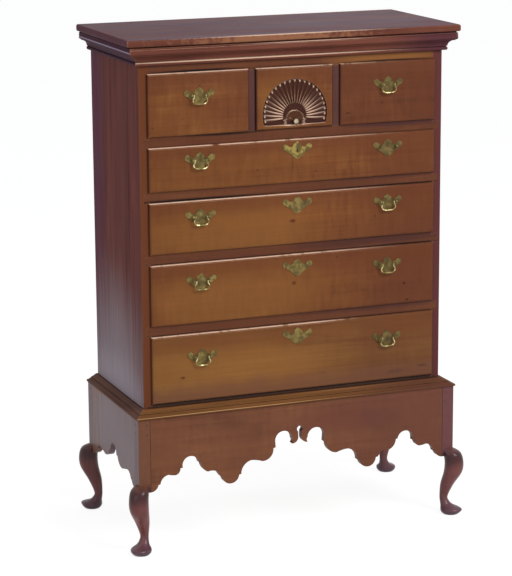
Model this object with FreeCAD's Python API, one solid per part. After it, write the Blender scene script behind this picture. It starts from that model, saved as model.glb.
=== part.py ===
import FreeCAD, Part
import math
import os
from FreeCAD import Rotation, Vector

# A Queen Anne highboy in two parts: an upper case of seven drawers that stands in the waist
# moulding of a low frame on four cabriole legs. Millimetres. X runs to the right, Y to the back,
# Z up from the floor, with X = 0 on the centre line and Y = 0 midway through the frame.

# ---- overall plan: the frame stands out past the case at the front and the sides ----
case_width = 914.0
case_depth = 430.0
frame_side_step = 31.5
frame_front_step = 39.0
frame_width = case_width + 2 * frame_side_step
frame_depth = case_depth + frame_front_step

# ---- most that a round edge turns from one chord to the next ----
chord_turn = math.radians(19)

# ---- how far a cut runs past the faces that it goes through ----
cut_margin = 1.0

# ---- frame on legs ----
frame_top = 393.0
apron_depth = 213.0
apron_thickness = 20.0
post_side = 36.0
tenon_thickness = 8.0
tenon_length = 20.0
tenon_inset = 6.0
tenon_top_shoulder = 10.0
tenon_bottom_shoulder = 42.0
peg_sides = 6
peg_across = 8.0
peg_length = 20.0
peg_drops = (17.0, 44.0)
back_apron_depth = 163.0
bearer_width = 44.0
bearer_height = 30.0

# ---- cabriole leg: heights, radii and the offset of each section from the post's outer corner ----
foot_base_radius = 21.5
foot_pad_height = 5.5
foot_pad_radius = 28.0
foot_rim_height = 14.0
foot_rim_radius = 30.5
foot_offset = -5.0
instep_height = 26.0
instep_radius = 19.0
instep_offset = -17.0
ankle_height = 52.0
ankle_radius = 12.6
ankle_offset = -26.7
calf_height = 90.0
calf_radius = 20.3
calf_offset = -16.5
thigh_height = 130.0
thigh_radius = 27.6
thigh_offset = 1.6
knee_height = 163.0
knee_radius = 28.4
knee_offset = 6.5
shoulder_rise = 10.0
shoulder_radius = 26.0
shoulder_offset = -3.5
knee_top_rise = 24.0
knee_top_radius = 15.0
knee_top_offset = -24.0
post_chamfer = 17.0
leg_rings = 10
leg_facets = 18

# ---- upper case ----
case_seat_gap = 0.3
case_side_thickness = 27.0
top_board_thickness = 20.0
top_side_overhang = 42.0
top_front_overhang = 36.0
top_edge_round = 5.0
case_front_rail_height = 31.4
top_rail_height = 81.5
rail_thickness = 22.0
blade_width = 60.0
rail_show = 29.8
divider_show = 21.0
tongue_length = 17.0
tongue_root = 18.0
tongue_tip = 26.0
back_board_thickness = 12.0
back_board_count = 5
back_board_gap = 1.5
back_rabbet = 12.0
runner_width = 25.0
runner_height = 22.0
bottom_board_thickness = 12.0
guide_height = 28.0
centre_runner_margin = 20.0

# ---- mouldings ----
waist_height = 21.0
waist_fillet = 6.0
waist_overhang = 4.0
hollow_upright = 2.0
moulding_gap = 0.5
cornice_height = 54.0
cornice_projection = 34.0
cornice_bead_height = 10.0
cornice_bead_projection = 12.5
cornice_cove_top = 31.0
cornice_nose_foot = 30.0
cornice_nose_swell = 8.0
cornice_fillet = 1.0
cornice_quirk = 3.0

# ---- drawers, counted from the top; a lip runs round the top and sides of each front ----
drawer_heights = {"top": 175.0, "first": 124.0, "second": 146.0, "third": 174.0, "fourth": 194.0}
fan_drawer_width = 233.0
lip = 6.0
lip_thickness = 8.0
lip_round = 5.0
lip_step = 0.8
lip_facets = 3
drawer_gap = 1.5
slide_gap = 0.3
front_body = 12.0
drawer_back_gap = 26.0
drawer_side_thickness = 12.0
drawer_side_drop = 4.0
drawer_bottom_thickness = 8.0
drawer_bottom_rise = 8.0
drawer_groove = 5.0
dovetail_pitch = 62.0
dovetail_root = 20.0
dovetail_flare = 4.0
half_blind_lap = 3.0

# ---- fan carved on the middle top drawer ----
fan_radius = 96.0
fan_base = 20.0
fan_stilt = 23.0
fan_focus = 14.5
fan_hub_radius = 42.0
fan_depth = 4.0
fan_rays = 23
fan_ray_droop = math.radians(3.5)
fan_ray_width = 11.8
fan_ray_height = 3.8
fan_ray_seat = 0.4
fan_ray_crown = 0.4
fan_ray_end = 5.0
fan_ray_end_share = 0.5
fan_margin = 1.0
lunette_radius = 29.0
lunette_stilt = 8.0
lunette_height = 3.4
knob_rise = 22.0
knob_facets = 16
knob_radius = 7.5
knob_neck_radius = 3.0
knob_neck = 4.5
knob_length = 13.0

# ---- brasses ----
plate_half_width = 45.0
plate_peak = 22.6
plate_point = 28.0
plate_thickness = 1.5
lobe_radius = 9.0
lobe_rise = 6.0
peak_hollow = (20.0, 14.0)
peak_hollow_radius = 8.0
peak_hollow_sweep = (180, 110)
lobe_sweep = (150, -240)
foot_hollow_sweep = (117, 20)
foot_hollow = (66.0, -79.0)
foot_hollow_radius = 79.4
pull_spread = 570.0
pull_peak_drops = {"top": 42.0, "first": 17.0, "second": 22.0, "third": 30.0, "fourth": 44.0}
key_plate_drops = {"first": 6.0, "second": 8.0, "third": 13.0, "fourth": 10.0}
key_plate_shift = 6.0
eye_spacing = 48.0
eye_width = 8.6
eye_length = 14.0
eye_pivot = 10.0
stem_width = 4.6
stem_length = 23.0
pivot_radius = 1.5
pivot_fit = 0.05
bail_width = 46.5
bail_drop = 26.2
bail_radius = 2.1
bail_neck = 5.5
bail_splay = 11.0
bail_corner = 12.0
bail_facets = 3
eye_facets = 8
lobe_facets = 6
sweep_facets = 2
bail_knuckle = 4.6
bail_play = 0.5
bail_end_show = 0.7
keyhole_radius = 2.0
keyhole_height = 10.0
keyhole_waist = 0.6
lock_width = 60.0
lock_height = 42.0
lock_thickness = 9.0
lock_fit = 0.3
bolt_width = 18.0
bolt_thickness = 4.0
bolt_length = 24.0
bolt_travel = 8.0
bolt_socket_room = 2.5

# ---- places that follow from the sizes above ----
half_frame = frame_width / 2
frame_front = -frame_depth / 2
frame_back = frame_depth / 2
post_bottom = frame_top - apron_depth
half_case = case_width / 2
case_back = frame_back
case_front = case_back - case_depth
case_bottom = frame_top + case_seat_gap
half_opening = half_case - case_side_thickness
back_boards_front = case_back - back_board_thickness
blade_back = case_front + blade_width
lip_show = lip - drawer_gap
drawer_rows = ("fourth", "third", "second", "first", "top")


def stack_drawers():
    """Bottom height of each row of drawer fronts, from the front rail up."""
    bottoms = {}
    height = case_bottom + case_front_rail_height + slide_gap
    for row in drawer_rows:
        bottoms[row] = height
        height += drawer_heights[row] + rail_show
    return bottoms


front_bottom = stack_drawers()
case_top = front_bottom["top"] + drawer_heights["top"] - lip_show + top_rail_height
face_plane = case_front - slide_gap - lip_thickness


# ---- small helpers ----
def slab(xs, ys, zs):
    """Rectangular board between two values on each axis."""
    low = Vector(min(xs), min(ys), min(zs))
    return Part.makeBox(max(xs) - low.x, max(ys) - low.y, max(zs) - low.z, low)


def joined(shapes):
    """One solid from overlapping or touching shapes."""
    first, rest = shapes[0], shapes[1:]
    return (first.fuse(rest) if rest else first).removeSplitter()


def outline(start, steps):
    """Closed wire from a start point: a step is a point for a line, or (via, point) for an arc.

    Arcs are drawn in equal chords, to keep the number of faces low."""
    points = [start]
    for step in steps:
        if isinstance(step, tuple):
            arc = Part.Arc(points[-1], step[0], step[1]).toShape()
            chords = math.ceil(arc.Length / arc.Curve.Radius / chord_turn)
            points += arc.discretize(chords + 1)[1:]
        else:
            points.append(step)
    if points[-1].distanceToPoint(start) > 1e-6:
        points.append(start)
    return Part.makePolygon(points)


def board(start, steps, depth):
    """Solid of one outline, drawn along the depth vector."""
    return Part.Face(outline(start, steps)).extrude(depth)


def mirror_steps(start, steps, flip):
    """The steps of a half outline walked backwards on its mirrored side, from its last point."""
    points = [start] + [step[1] if isinstance(step, tuple) else step for step in steps]
    back = []
    for index in range(len(steps) - 1, -1, -1):
        target = flip(points[index])
        step = steps[index]
        back.append((flip(step[0]), target) if isinstance(step, tuple) else target)
    return back


def save(name, solids):
    """Write one node: one solid, or a group of separate ones."""
    solids = solids if isinstance(solids, list) else [solids]
    shape = solids[0] if len(solids) == 1 else Part.makeCompound(solids)
    shape.exportStep("parts/" + name + ".step")


# ---- frame ----
def tenon_heights():
    return (post_bottom + tenon_bottom_shoulder, frame_top - tenon_top_shoulder)


def front_tenon(side, front):
    """Tenon of the front or back apron in a post. side is +1 or -1, front is -1 or +1 for back."""
    shoulder = half_frame - post_side
    face = front * frame_depth / 2
    inner = face - front * tenon_inset
    return slab((side * shoulder, side * (shoulder + tenon_length)),
                (inner, inner - front * tenon_thickness), tenon_heights())


def side_tenon(side, front):
    """Tenon of a side apron in a post."""
    shoulder = front * (frame_depth / 2 - post_side)
    outer = side * (half_frame - tenon_inset)
    return slab((outer, outer - side * tenon_thickness),
                (shoulder, shoulder + front * tenon_length), tenon_heights())


def regular(sides, radius, centre, direction):
    """Corners of an equal-sided ring round a centre, square to a direction."""
    turn = Rotation(Vector(0, 0, 1), direction)
    corners = []
    for index in range(sides):
        angle = (2 * index + 1) * math.pi / sides
        corner = Vector(radius * math.cos(angle), radius * math.sin(angle), 0)
        corners.append(centre + turn.multVec(corner))
    return corners


def faceted(rings):
    """Solid with flat faces between rings of as many corners each, closed at both ends."""
    faces = [Part.Face(Part.makePolygon(ring + ring[:1])) for ring in (rings[0], rings[-1])]
    for low, high in zip(rings, rings[1:]):
        for index in range(len(low)):
            near = index - 1
            faces.append(Part.Face(Part.makePolygon(
                [low[near], low[index], high[index], high[near], low[near]])))
    solid = Part.Solid(Part.Shell(faces))
    return solid if solid.Volume > 0 else solid.reversed()


def prism(sides, across, at, direction, length):
    """Bar with equal flats, a given distance across them, that starts centred on a point."""
    radius = across / 2 / math.cos(math.pi / sides)
    start = regular(sides, radius, at, direction)
    return faceted([start, [corner + direction * length for corner in start]])


def corner_pegs(side, front):
    """The riven pegs of one post, two through each of its two tenons."""
    pegs = []
    centre = post_side - tenon_length / 2
    for drop in peg_drops:
        height = frame_top - drop
        face = Vector(side * (half_frame - centre), front * frame_depth / 2, height)
        pegs.append(prism(peg_sides, peg_across, face, Vector(0, -front, 0), peg_length))
        flank = Vector(side * half_frame, front * (frame_depth / 2 - centre), height)
        pegs.append(prism(peg_sides, peg_across, flank, Vector(-side, 0, 0), peg_length))
    return pegs


def section(height, radius, offset, side, front):
    """Round section of a leg, set off along the diagonal from the post's outer corner."""
    shift = offset * math.sqrt(0.5)
    centre = Vector(side * (half_frame + shift), front * (frame_depth / 2 + shift), height)
    return regular(leg_facets, radius, centre, Vector(0, 0, 1))


def leg_sections():
    """Height, radius and offset of each ring, on a smooth curve through the named sections."""
    named = [
        (foot_rim_height, foot_rim_radius, foot_offset),
        (instep_height, instep_radius, instep_offset),
        (ankle_height, ankle_radius, ankle_offset),
        (calf_height, calf_radius, calf_offset),
        (thigh_height, thigh_radius, thigh_offset),
        (knee_height, knee_radius, knee_offset),
        (post_bottom + shoulder_rise, shoulder_radius, shoulder_offset),
        (post_bottom + knee_top_rise, knee_top_radius, knee_top_offset),
    ]
    curve = Part.BSplineCurve()
    curve.interpolate([Vector(*row) for row in named])
    first, last = curve.FirstParameter, curve.LastParameter
    rings = [curve.value(first + (last - first) * index / (leg_rings - 1))
             for index in range(leg_rings)]
    foot = [(0.0, foot_base_radius, foot_offset), (foot_pad_height, foot_pad_radius, foot_offset)]
    return foot + [tuple(ring) for ring in rings]


def post_relief(side, front):
    """Corner taken off the inside of a post's lower end, where it runs into the round leg."""
    corner = Vector(side * (half_frame - post_side), front * (frame_depth / 2 - post_side),
                    post_bottom)
    across = Vector(side * post_chamfer, 0, 0)
    along = Vector(0, front * post_chamfer, 0)
    base = [corner - along - across, corner + across * 2 - along, corner + along * 2 - across]
    tip = corner - along - across + Vector(0, 0, 3 * post_chamfer)
    return faceted([base, [tip + (point - tip) * 0.001 for point in base]])


def leg(side, front):
    """Cabriole leg and post in one piece, with mortises for two aprons."""
    curve = faceted([section(*row, side, front) for row in leg_sections()])
    post = slab((side * half_frame, side * (half_frame - post_side)),
                (front * frame_depth / 2, front * (frame_depth / 2 - post_side)),
                (post_bottom, frame_top))
    post = post.cut(post_relief(side, front))
    cuts = [front_tenon(side, front), side_tenon(side, front)] + corner_pegs(side, front)
    return joined([curve, post]).cut(cuts)


def scallops(points, half, across, drop_axis):
    """Scale pattern steps, given as (along, height) pairs, to an apron's real length and depth."""
    stretch = half / points[0][0]
    raise_by = apron_depth / layout_depth

    def place(pair):
        return across * (pair[0] * stretch) + drop_axis + Vector(0, 0, post_bottom + pair[1] * raise_by)

    steps = []
    for step in points:
        nested = isinstance(step[0], tuple)
        steps.append((place(step[0]), place(step[1])) if nested else place(step))
    return steps


# Pattern of the scalloped aprons, from the post in to the middle: each step is the end of a line,
# or the middle and end of an arc, as (distance from the middle, height above the post's lower end).
# A pattern's first point is at half its board's length, and its board is layout_depth high.
layout_depth = 213.0
key_hole_radius = 9.0
key_hole_height = 136.0
key_slit_half = 5.0
key_slit_top = key_hole_height - math.sqrt(key_hole_radius ** 2 - key_slit_half ** 2)
front_pattern = [
    (452.5, 0.0),
    ((438.5, 6.0), (431.0, 19.0)),
    (425.0, 20.5),
    ((418.5, 36.0), (401.0, 45.5)),
    ((390.0, 43.0), (379.0, 42.0)),
    ((369.5, 47.5), (365.0, 60.5)),
    (357.5, 61.5),
    ((333.5, 93.0), (309.5, 72.0)),
    (303.5, 70.5),
    ((297.0, 52.0), (282.0, 41.0)),
    ((268.0, 42.5), (256.0, 39.0)),
    (246.0, 24.0),
    (239.5, 23.0),
    ((213.5, -2.5), (187.5, 21.0)),
    (181.0, 22.0),
    ((172.0, 47.0), (150.0, 59.5)),
    ((133.5, 57.6), (116.0, 52.5)),
    ((91.0, 62.0), (82.0, 87.0)),
    (75.0, 89.0),
    (76.4, 109.0),
    ((50.2, 135.0), (24.0, 109.0)),
    ((21.4, 101.0), (24.6, 94.5)),
    ((11.0, 98.5), (key_slit_half, 113.0)),
    (key_slit_half, key_slit_top),
]
front_pattern_top = ((0.0, key_hole_height + key_hole_radius), (-key_slit_half, key_slit_top))
side_pattern = [
    (198.5, 0.0),
    ((179.0, 8.0), (164.0, 22.0)),
    (158.0, 23.5),
    ((148.0, 36.5), (128.0, 41.5)),
    ((104.0, 36.5), (82.0, 31.0)),
    ((52.0, 38.0), (38.0, 56.0)),
    (28.0, 57.0),
]
side_pattern_top = ((0.0, 84.0), (-28.0, 57.0))


def scalloped_apron(pattern, crown, half, across, base, depth):
    """Apron board whose lower edge follows a half pattern, its crown, and the mirrored half."""
    steps = scallops(pattern + [crown], half, across, base)
    start, run, top = steps[0], steps[1:-1], steps[-1]

    def flip(point):
        return point - across * (2 * (point - base).dot(across))

    lower = run + [top] + mirror_steps(start, run, flip)
    upper_end = base - across * half + Vector(0, 0, frame_top)
    upper_start = base + across * half + Vector(0, 0, frame_top)
    return board(start, lower + [upper_end, upper_start], depth)


def front_apron():
    half = half_frame - post_side
    panel = scalloped_apron(front_pattern, front_pattern_top, half, Vector(1, 0, 0),
                            Vector(0, frame_front, 0), Vector(0, apron_thickness, 0))
    tenons = [front_tenon(side, -1).cut(corner_pegs(side, -1)) for side in (1, -1)]
    return joined([panel] + tenons)


def side_apron(side):
    half = frame_depth / 2 - post_side
    panel = scalloped_apron(side_pattern, side_pattern_top, half, Vector(0, 1, 0),
                            Vector(side * half_frame, 0, 0), Vector(-side * apron_thickness, 0, 0))
    tenons = [side_tenon(side, front).cut(corner_pegs(side, front)) for front in (1, -1)]
    return joined([panel] + tenons)


def back_apron():
    panel = slab((half_frame - post_side, post_side - half_frame),
                 (frame_back, frame_back - apron_thickness), (frame_top - back_apron_depth, frame_top))
    below = slab((half_frame, -half_frame), (frame_back, frame_back - post_side),
                 (0, frame_top - back_apron_depth))
    tenons = [front_tenon(side, 1).cut(corner_pegs(side, 1) + [below]) for side in (1, -1)]
    return joined([panel] + tenons)


def case_bearers():
    """Four strips glued inside the aprons, level with the frame's top, that carry the case."""
    heights = (frame_top - bearer_height, frame_top)
    reach = half_frame - post_side
    front_in = frame_front + apron_thickness
    back_in = frame_back - apron_thickness
    side_in = half_frame - apron_thickness
    bearers = [slab((-reach, reach), (front_in, front_in + bearer_width), heights),
               slab((-reach, reach), (back_in, back_in - bearer_width), heights)]
    for side in (1, -1):
        bearers.append(slab((side * side_in, side * (side_in - bearer_width)),
                            (front_in + bearer_width, back_in - bearer_width), heights))
    return bearers


# ---- mouldings: a profile gives (share of the width, height) pairs, so that mitres meet ----
def moulding_run(steps, width, out, along, inner, length):
    """Moulding with its back on the inner line, drawn past both ends, ready for mitring."""
    def place(pair):
        return inner + out * (pair[0] * width) + Vector(0, 0, pair[1])

    placed = []
    for step in steps:
        nested = isinstance(step[0], tuple)
        placed.append((place(step[0]), place(step[1])) if nested else place(step))
    return board(placed[0], placed[1:], along * length)


def mitre_wedge(inner, outer, keep, low, high):
    """Tall wedge beyond a mitre line through two plan points, on the side away from keep."""
    run = outer - inner
    normal = Vector(-run.y, run.x, 0)
    if normal.dot(keep - inner) > 0:
        normal = -normal
    normal.normalize()
    start = inner - run * 3 + Vector(0, 0, low)
    far = run * 7
    wide = normal * frame_width
    return board(start, [start + far, start + far + wide, start + wide], Vector(0, 0, high - low))


def moulding_set(steps, front_width, side_width, half, front_line, back_line, low, high):
    """Front length and two returns of a moulding, mitred at the front corners, cut at the back."""
    front_run = moulding_run(steps, front_width, Vector(0, -1, 0), Vector(1, 0, 0),
                             Vector(-half - side_width, front_line, 0), 2 * (half + side_width))
    pieces = {}
    for side, name in ((-1, "left"), (1, "right")):
        inner = Vector(side * half, front_line, 0)
        outer = Vector(side * (half + side_width), front_line - front_width, 0)
        middle = Vector(0, front_line - cut_margin, 0)
        front_run = front_run.cut(mitre_wedge(inner, outer, middle, low, high))
        back = Vector(side * half, back_line, 0)
        run = moulding_run(steps, side_width, Vector(side, 0, 0), Vector(0, -1, 0), back,
                           back_line - front_line + front_width)
        pieces[name] = run.cut(mitre_wedge(inner, outer, back, low, high))
    pieces["front"] = front_run
    return pieces


def waist_mouldings():
    """Moulding on the frame that the upper case stands in: a fillet below, a hollow above it."""
    side_width = half_frame + waist_overhang - half_case - moulding_gap
    front_width = case_front - frame_front + waist_overhang - moulding_gap
    shoulder = frame_top + waist_fillet
    top = frame_top + waist_height
    steps = [(0, frame_top), (1, frame_top), (1, shoulder), (0.93, shoulder),
             ((0.42, frame_top + 0.48 * waist_height), (0.14, top - hollow_upright)), (0.14, top),
             (0, top)]
    return moulding_set(steps, front_width, side_width, half_case + moulding_gap,
                        case_front - moulding_gap, case_back, frame_top - cut_margin,
                        top + cut_margin)


def cornices():
    """Cornice under the top board: bead, cove, fillet and rounded nose, and a quirk on top."""
    low = case_top - cornice_height
    bead = cornice_bead_projection / cornice_projection
    cove_foot = low + cornice_bead_height
    nose_foot = low + cornice_nose_foot + cornice_fillet
    cove_end = cornice_cove_top / cornice_projection * 0.93
    top = case_top
    steps = [(0, low), (bead * 0.75, low),
             ((bead, low + cornice_bead_height / 2), (bead * 0.75, cove_foot)),
             (bead * 0.95, cove_foot + cornice_fillet),
             ((bead * 1.2, low + 0.4 * cornice_height), (cove_end, nose_foot - hollow_upright)),
             (cove_end, nose_foot),
             (cornice_cove_top / cornice_projection, nose_foot),
             ((1.0, nose_foot + cornice_nose_swell), (0.985, top - cornice_quirk)),
             (0.9, top - cornice_quirk), (0.9, top), (0, top)]
    return moulding_set(steps, cornice_projection, cornice_projection, half_case, case_front,
                        case_back, low - cut_margin, top + cut_margin)


# ---- upper case ----
def tongue(side, middle, depth):
    """Dovetail on the end of a rail, let into the front edge of a case side."""
    root, tip = tongue_root / 2, tongue_tip / 2
    near, far = side * half_opening, side * (half_opening + tongue_length)
    start = Vector(near, case_front, middle - root)
    steps = [Vector(far, case_front, middle - tip), Vector(far, case_front, middle + tip),
             Vector(near, case_front, middle + root)]
    return board(start, steps, Vector(0, depth, 0))


def rail_spans():
    """Height range and depth of each horizontal member across the front of the case."""
    spans = [(case_bottom, case_bottom + case_front_rail_height, blade_width)]
    for lower, upper in zip(drawer_rows, drawer_rows[1:]):
        low = front_bottom[lower] + drawer_heights[lower] - lip_show
        spans.append((low, front_bottom[upper] - slide_gap, blade_width))
    spans.append((case_top - top_rail_height, case_top, rail_thickness))
    return spans


def cross_rail(span):
    """Front rail or drawer blade with a dovetail tongue at each end."""
    low, high, depth = span
    bar = slab((-half_opening, half_opening), (case_front, case_front + depth), (low, high))
    return joined([bar] + [tongue(side, (low + high) / 2, depth) for side in (1, -1)])


def case_side(side):
    """Side board, rabbeted for the back boards and housed for the ends of the rails."""
    panel = slab((side * half_case, side * half_opening), (case_front, case_back),
                 (case_bottom, case_top))
    rabbet = slab((side * half_opening, side * (half_opening + back_rabbet)),
                  (back_boards_front, case_back), (case_bottom, case_top))
    sockets = [tongue(side, (low + high) / 2, depth) for low, high, depth in rail_spans()]
    return panel.cut([rabbet] + sockets)


def top_board():
    """Single overhanging board with its three show edges rounded."""
    low, high = case_top, case_top + top_board_thickness
    half = half_case + top_side_overhang
    front = case_front - top_front_overhang
    blank = slab((-half, half), (front, case_back), (low, high))
    show = []
    for edge in blank.Edges:
        box = edge.BoundBox
        level = box.ZLength < 1e-6
        at_side = box.XLength < 1e-6
        at_front = box.YLength < 1e-6 and box.YMax < 0
        if level and (at_side or at_front):
            show.append(edge)
    return blank.makeFillet(top_edge_round, show)


def back_boards():
    """Horizontal boards nailed into the rabbets, with a shrinkage gap between them."""
    half = half_opening + back_rabbet
    pitch = (case_top - case_bottom) / back_board_count
    boards = []
    for index in range(back_board_count):
        low = case_bottom + index * pitch
        boards.append(slab((-half, half), (back_boards_front, case_back),
                           (low, low + pitch - back_board_gap)))
    return boards


def runner_tops():
    """Height of the bearing surface under each row of drawers."""
    return [front_bottom[row] - slide_gap for row in drawer_rows]


def drawer_runners():
    """A pair of runners under each row, fixed to the case sides between blade and back.

    The lowest pair stands on the bottom boards."""
    runners = []
    for height in runner_tops():
        foot = max(height - runner_height, case_bottom + bottom_board_thickness)
        for side in (1, -1):
            runners.append(slab((side * half_opening, side * (half_opening - runner_width)),
                                (blade_back, back_boards_front), (foot, height)))
    return runners


def bottom_boards():
    """Boards that close the case below the lowest runners."""
    return slab((-half_opening, half_opening), (blade_back, back_boards_front),
                (case_bottom, case_bottom + bottom_board_thickness))


def divider_place(side):
    """Plan range of a divider between the fan drawer and its neighbour."""
    inner = fan_drawer_width / 2 - lip_show
    outer = inner + divider_show + 2 * lip_show
    return side * inner, side * outer


def top_row_dividers():
    low = runner_tops()[-1]
    high = rail_spans()[-1][0]
    return [slab(divider_place(side), (case_front, blade_back), (low, high)) for side in (1, -1)]


def top_row_runners():
    """Wide runner behind each divider, with the guide between two drawers standing on it."""
    high = runner_tops()[-1]
    pieces = []
    for side in (1, -1):
        inner, outer = divider_place(side)
        wide = (inner - side * centre_runner_margin, outer + side * centre_runner_margin)
        pieces.append(joined([
            slab(wide, (blade_back, back_boards_front), (high - runner_height, high)),
            slab((inner, outer), (blade_back, back_boards_front), (high, high + guide_height))]))
    return pieces


# ---- drawers ----
class Drawer:
    """One lipped drawer: where its front stands and the range of its box behind the lip."""

    def __init__(self, name, row, left, right):
        self.name, self.row = name, row
        self.left, self.right = left, right
        self.low = front_bottom[row]
        self.high = self.low + drawer_heights[row]
        self.box_left, self.box_right = left + lip, right - lip
        self.box_top = self.high - lip - drawer_side_drop
        self.front_back = case_front - slide_gap + front_body
        self.back = back_boards_front - drawer_back_gap
        self.pulls = []
        self.locked = False

    def middle(self):
        return (self.left + self.right) / 2

    def pull_height(self):
        return self.high - pull_peak_drops[self.row] - plate_peak

    def key_plate(self):
        """Middle of the plate over the lock, or of the blank one that matches it."""
        return key_plate_shift, self.high - key_plate_drops[self.row] - plate_peak

    def tail_heights(self):
        """Middle heights of the dovetails at each corner."""
        low, high = self.low, self.box_top
        count = max(2, int((high - low) / dovetail_pitch))
        step = (high - low) / count
        return [low + step * (index + 0.5) for index in range(count)]

    def tails(self, side, at, into):
        """Tails of one side board that enter the board at a given depth, widening as they go in."""
        outer = self.box_right if side > 0 else self.box_left
        pieces = []
        root = dovetail_root / 2
        for height in self.tail_heights():
            start = Vector(outer, at, height - root)
            tip = root + dovetail_flare
            steps = [Vector(outer, at + into, height - tip), Vector(outer, at + into, height + tip),
                     Vector(outer, at, height + root)]
            pieces.append(board(start, steps, Vector(-side * drawer_side_thickness, 0, 0)))
        return pieces

    def front_tails(self, side):
        return self.tails(side, self.front_back, half_blind_lap - front_body)

    def back_tails(self, side):
        return self.tails(side, self.back - drawer_side_thickness, drawer_side_thickness)

    def groove(self):
        """Space of the bottom board, let into the sides and the front."""
        return slab((self.box_left + drawer_side_thickness - drawer_groove,
                     self.box_right - drawer_side_thickness + drawer_groove),
                    (self.front_back - drawer_groove, self.back),
                    (self.low + drawer_bottom_rise,
                     self.low + drawer_bottom_rise + drawer_bottom_thickness))

    def side_board(self, side):
        outer = self.box_right if side > 0 else self.box_left
        plain = slab((outer, outer - side * drawer_side_thickness),
                     (self.front_back, self.back - drawer_side_thickness), (self.low, self.box_top))
        whole = joined([plain] + self.front_tails(side) + self.back_tails(side))
        return whole.cut(self.groove())

    def back_board(self):
        low = self.low + drawer_bottom_rise + drawer_bottom_thickness
        plain = slab((self.box_left, self.box_right), (self.back - drawer_side_thickness, self.back),
                     (low, self.box_top))
        return plain.cut(self.back_tails(1) + self.back_tails(-1))

    def box(self):
        return [self.side_board(-1), self.side_board(1), self.back_board(), self.groove()]

    def lip_board(self):
        """Board with a thumbnail moulding: a small step down from the face, then a quarter round."""
        shoulder = lip_thickness - lip_step - lip_round
        profile = [(0.0, 0.0)]
        for index in range(lip_facets + 1):
            angle = index * math.pi / 2 / lip_facets
            profile.append((lip_round * (1 - math.cos(angle)), shoulder + lip_round * math.sin(angle)))
        profile.append((lip_round, lip_thickness))
        rings = []
        for inset, proud in profile:
            xs = (self.left + inset, self.right - inset)
            zs = (self.low + inset, self.high - inset)
            rings.append([Vector(x, face_plane + lip_thickness - proud, z)
                          for x, z in ((xs[0], zs[0]), (xs[1], zs[0]), (xs[1], zs[1]), (xs[0], zs[1]))])
        return faceted(rings)

    def front(self):
        """Front with a lip round its top and sides, bored for its brasses."""
        body = slab((self.box_left, self.box_right), (face_plane + lip_thickness, self.front_back),
                    (self.low, self.high - lip))
        whole = joined([self.lip_board(), body])
        cuts = self.front_tails(1) + self.front_tails(-1) + [self.groove()]
        for middle in self.pulls:
            cuts += pull_bores(middle, self.pull_height())
        return whole.cut(cuts)


def pull_places(middle, height, at):
    """The two stem axes of a pull, at a given depth."""
    return [Vector(middle + side * eye_spacing / 2, at, height) for side in (1, -1)]


def pull_bores(middle, height):
    """Two square holes through the plate and the drawer front for the stems of a pull."""
    near = face_plane - plate_thickness - cut_margin
    return [prism(4, stem_width, start, Vector(0, 1, 0), stem_length + plate_thickness)
            for start in pull_places(middle, height, near)]


def make_drawers():
    """The seven drawers with the places of their pulls, from the top left down."""
    edge = half_opening + lip_show
    fan_edge = fan_drawer_width / 2
    inner = fan_edge + divider_show
    pull = pull_spread / 2
    left, fan, right = (Drawer("top_left_drawer", "top", -edge, -inner),
                        Drawer("fan_drawer", "top", -fan_edge, fan_edge),
                        Drawer("top_right_drawer", "top", inner, edge))
    left.pulls, right.pulls = [-pull], [pull]
    drawers = [left, fan, right]
    for row in reversed(drawer_rows[:-1]):
        drawer = Drawer(row + "_long_drawer", row, -edge, edge)
        drawer.pulls = [-pull, pull]
        drawer.locked = row == "first"
        drawers.append(drawer)
    return drawers


# ---- brasses ----
def sweep_points(centre, radius, sweep, count):
    """Points along an arc in the drawer's face. The sweep is its start angle and its turn."""
    start, turn = sweep
    points = []
    for index in range(count + 1):
        angle = math.radians(start + turn * index / count)
        points.append((centre[0] + radius * math.cos(angle), centre[1] + radius * math.sin(angle)))
    return points


def plate(middle, height):
    """Back plate in the shape of a bat: a peak, two round wing lobes and a pointed foot."""
    lobe = (plate_half_width - lobe_radius, lobe_rise)
    half = [(0, plate_peak)]
    half += sweep_points(peak_hollow, peak_hollow_radius, peak_hollow_sweep, sweep_facets)
    half += sweep_points(lobe, lobe_radius, lobe_sweep, lobe_facets)
    half += sweep_points(foot_hollow, foot_hollow_radius, foot_hollow_sweep, sweep_facets)
    half.append((0, -plate_point))
    both = half + [(-x, z) for x, z in reversed(half[1:-1])]
    corners = [Vector(middle + x, face_plane, height + z) for x, z in both]
    return board(corners[0], corners[1:], Vector(0, -plate_thickness, 0))


def eye_post(start):
    """Cast post: a square stem through the drawer front and a head with an eye for the bail."""
    out = Vector(0, -1, 0)
    head = prism(8, eye_width, start + out * plate_thickness, out, eye_length - plate_thickness)
    stem = prism(4, stem_width, start - out * stem_length, out, stem_length + plate_thickness)
    eye = prism(eye_facets, 2 * (pivot_radius + pivot_fit),
                start + out * eye_pivot - Vector(eye_width / 2 + cut_margin, 0, 0),
                Vector(1, 0, 0), eye_width + 2 * cut_margin)
    return joined([head, stem]).cut(eye)


def pull(middle, height):
    """Fixed pieces of one pull: a plate and two posts."""
    posts = [eye_post(start) for start in pull_places(middle, height, face_plane)]
    return [plate(middle, height).cut(pull_bores(middle, height))] + posts


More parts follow.
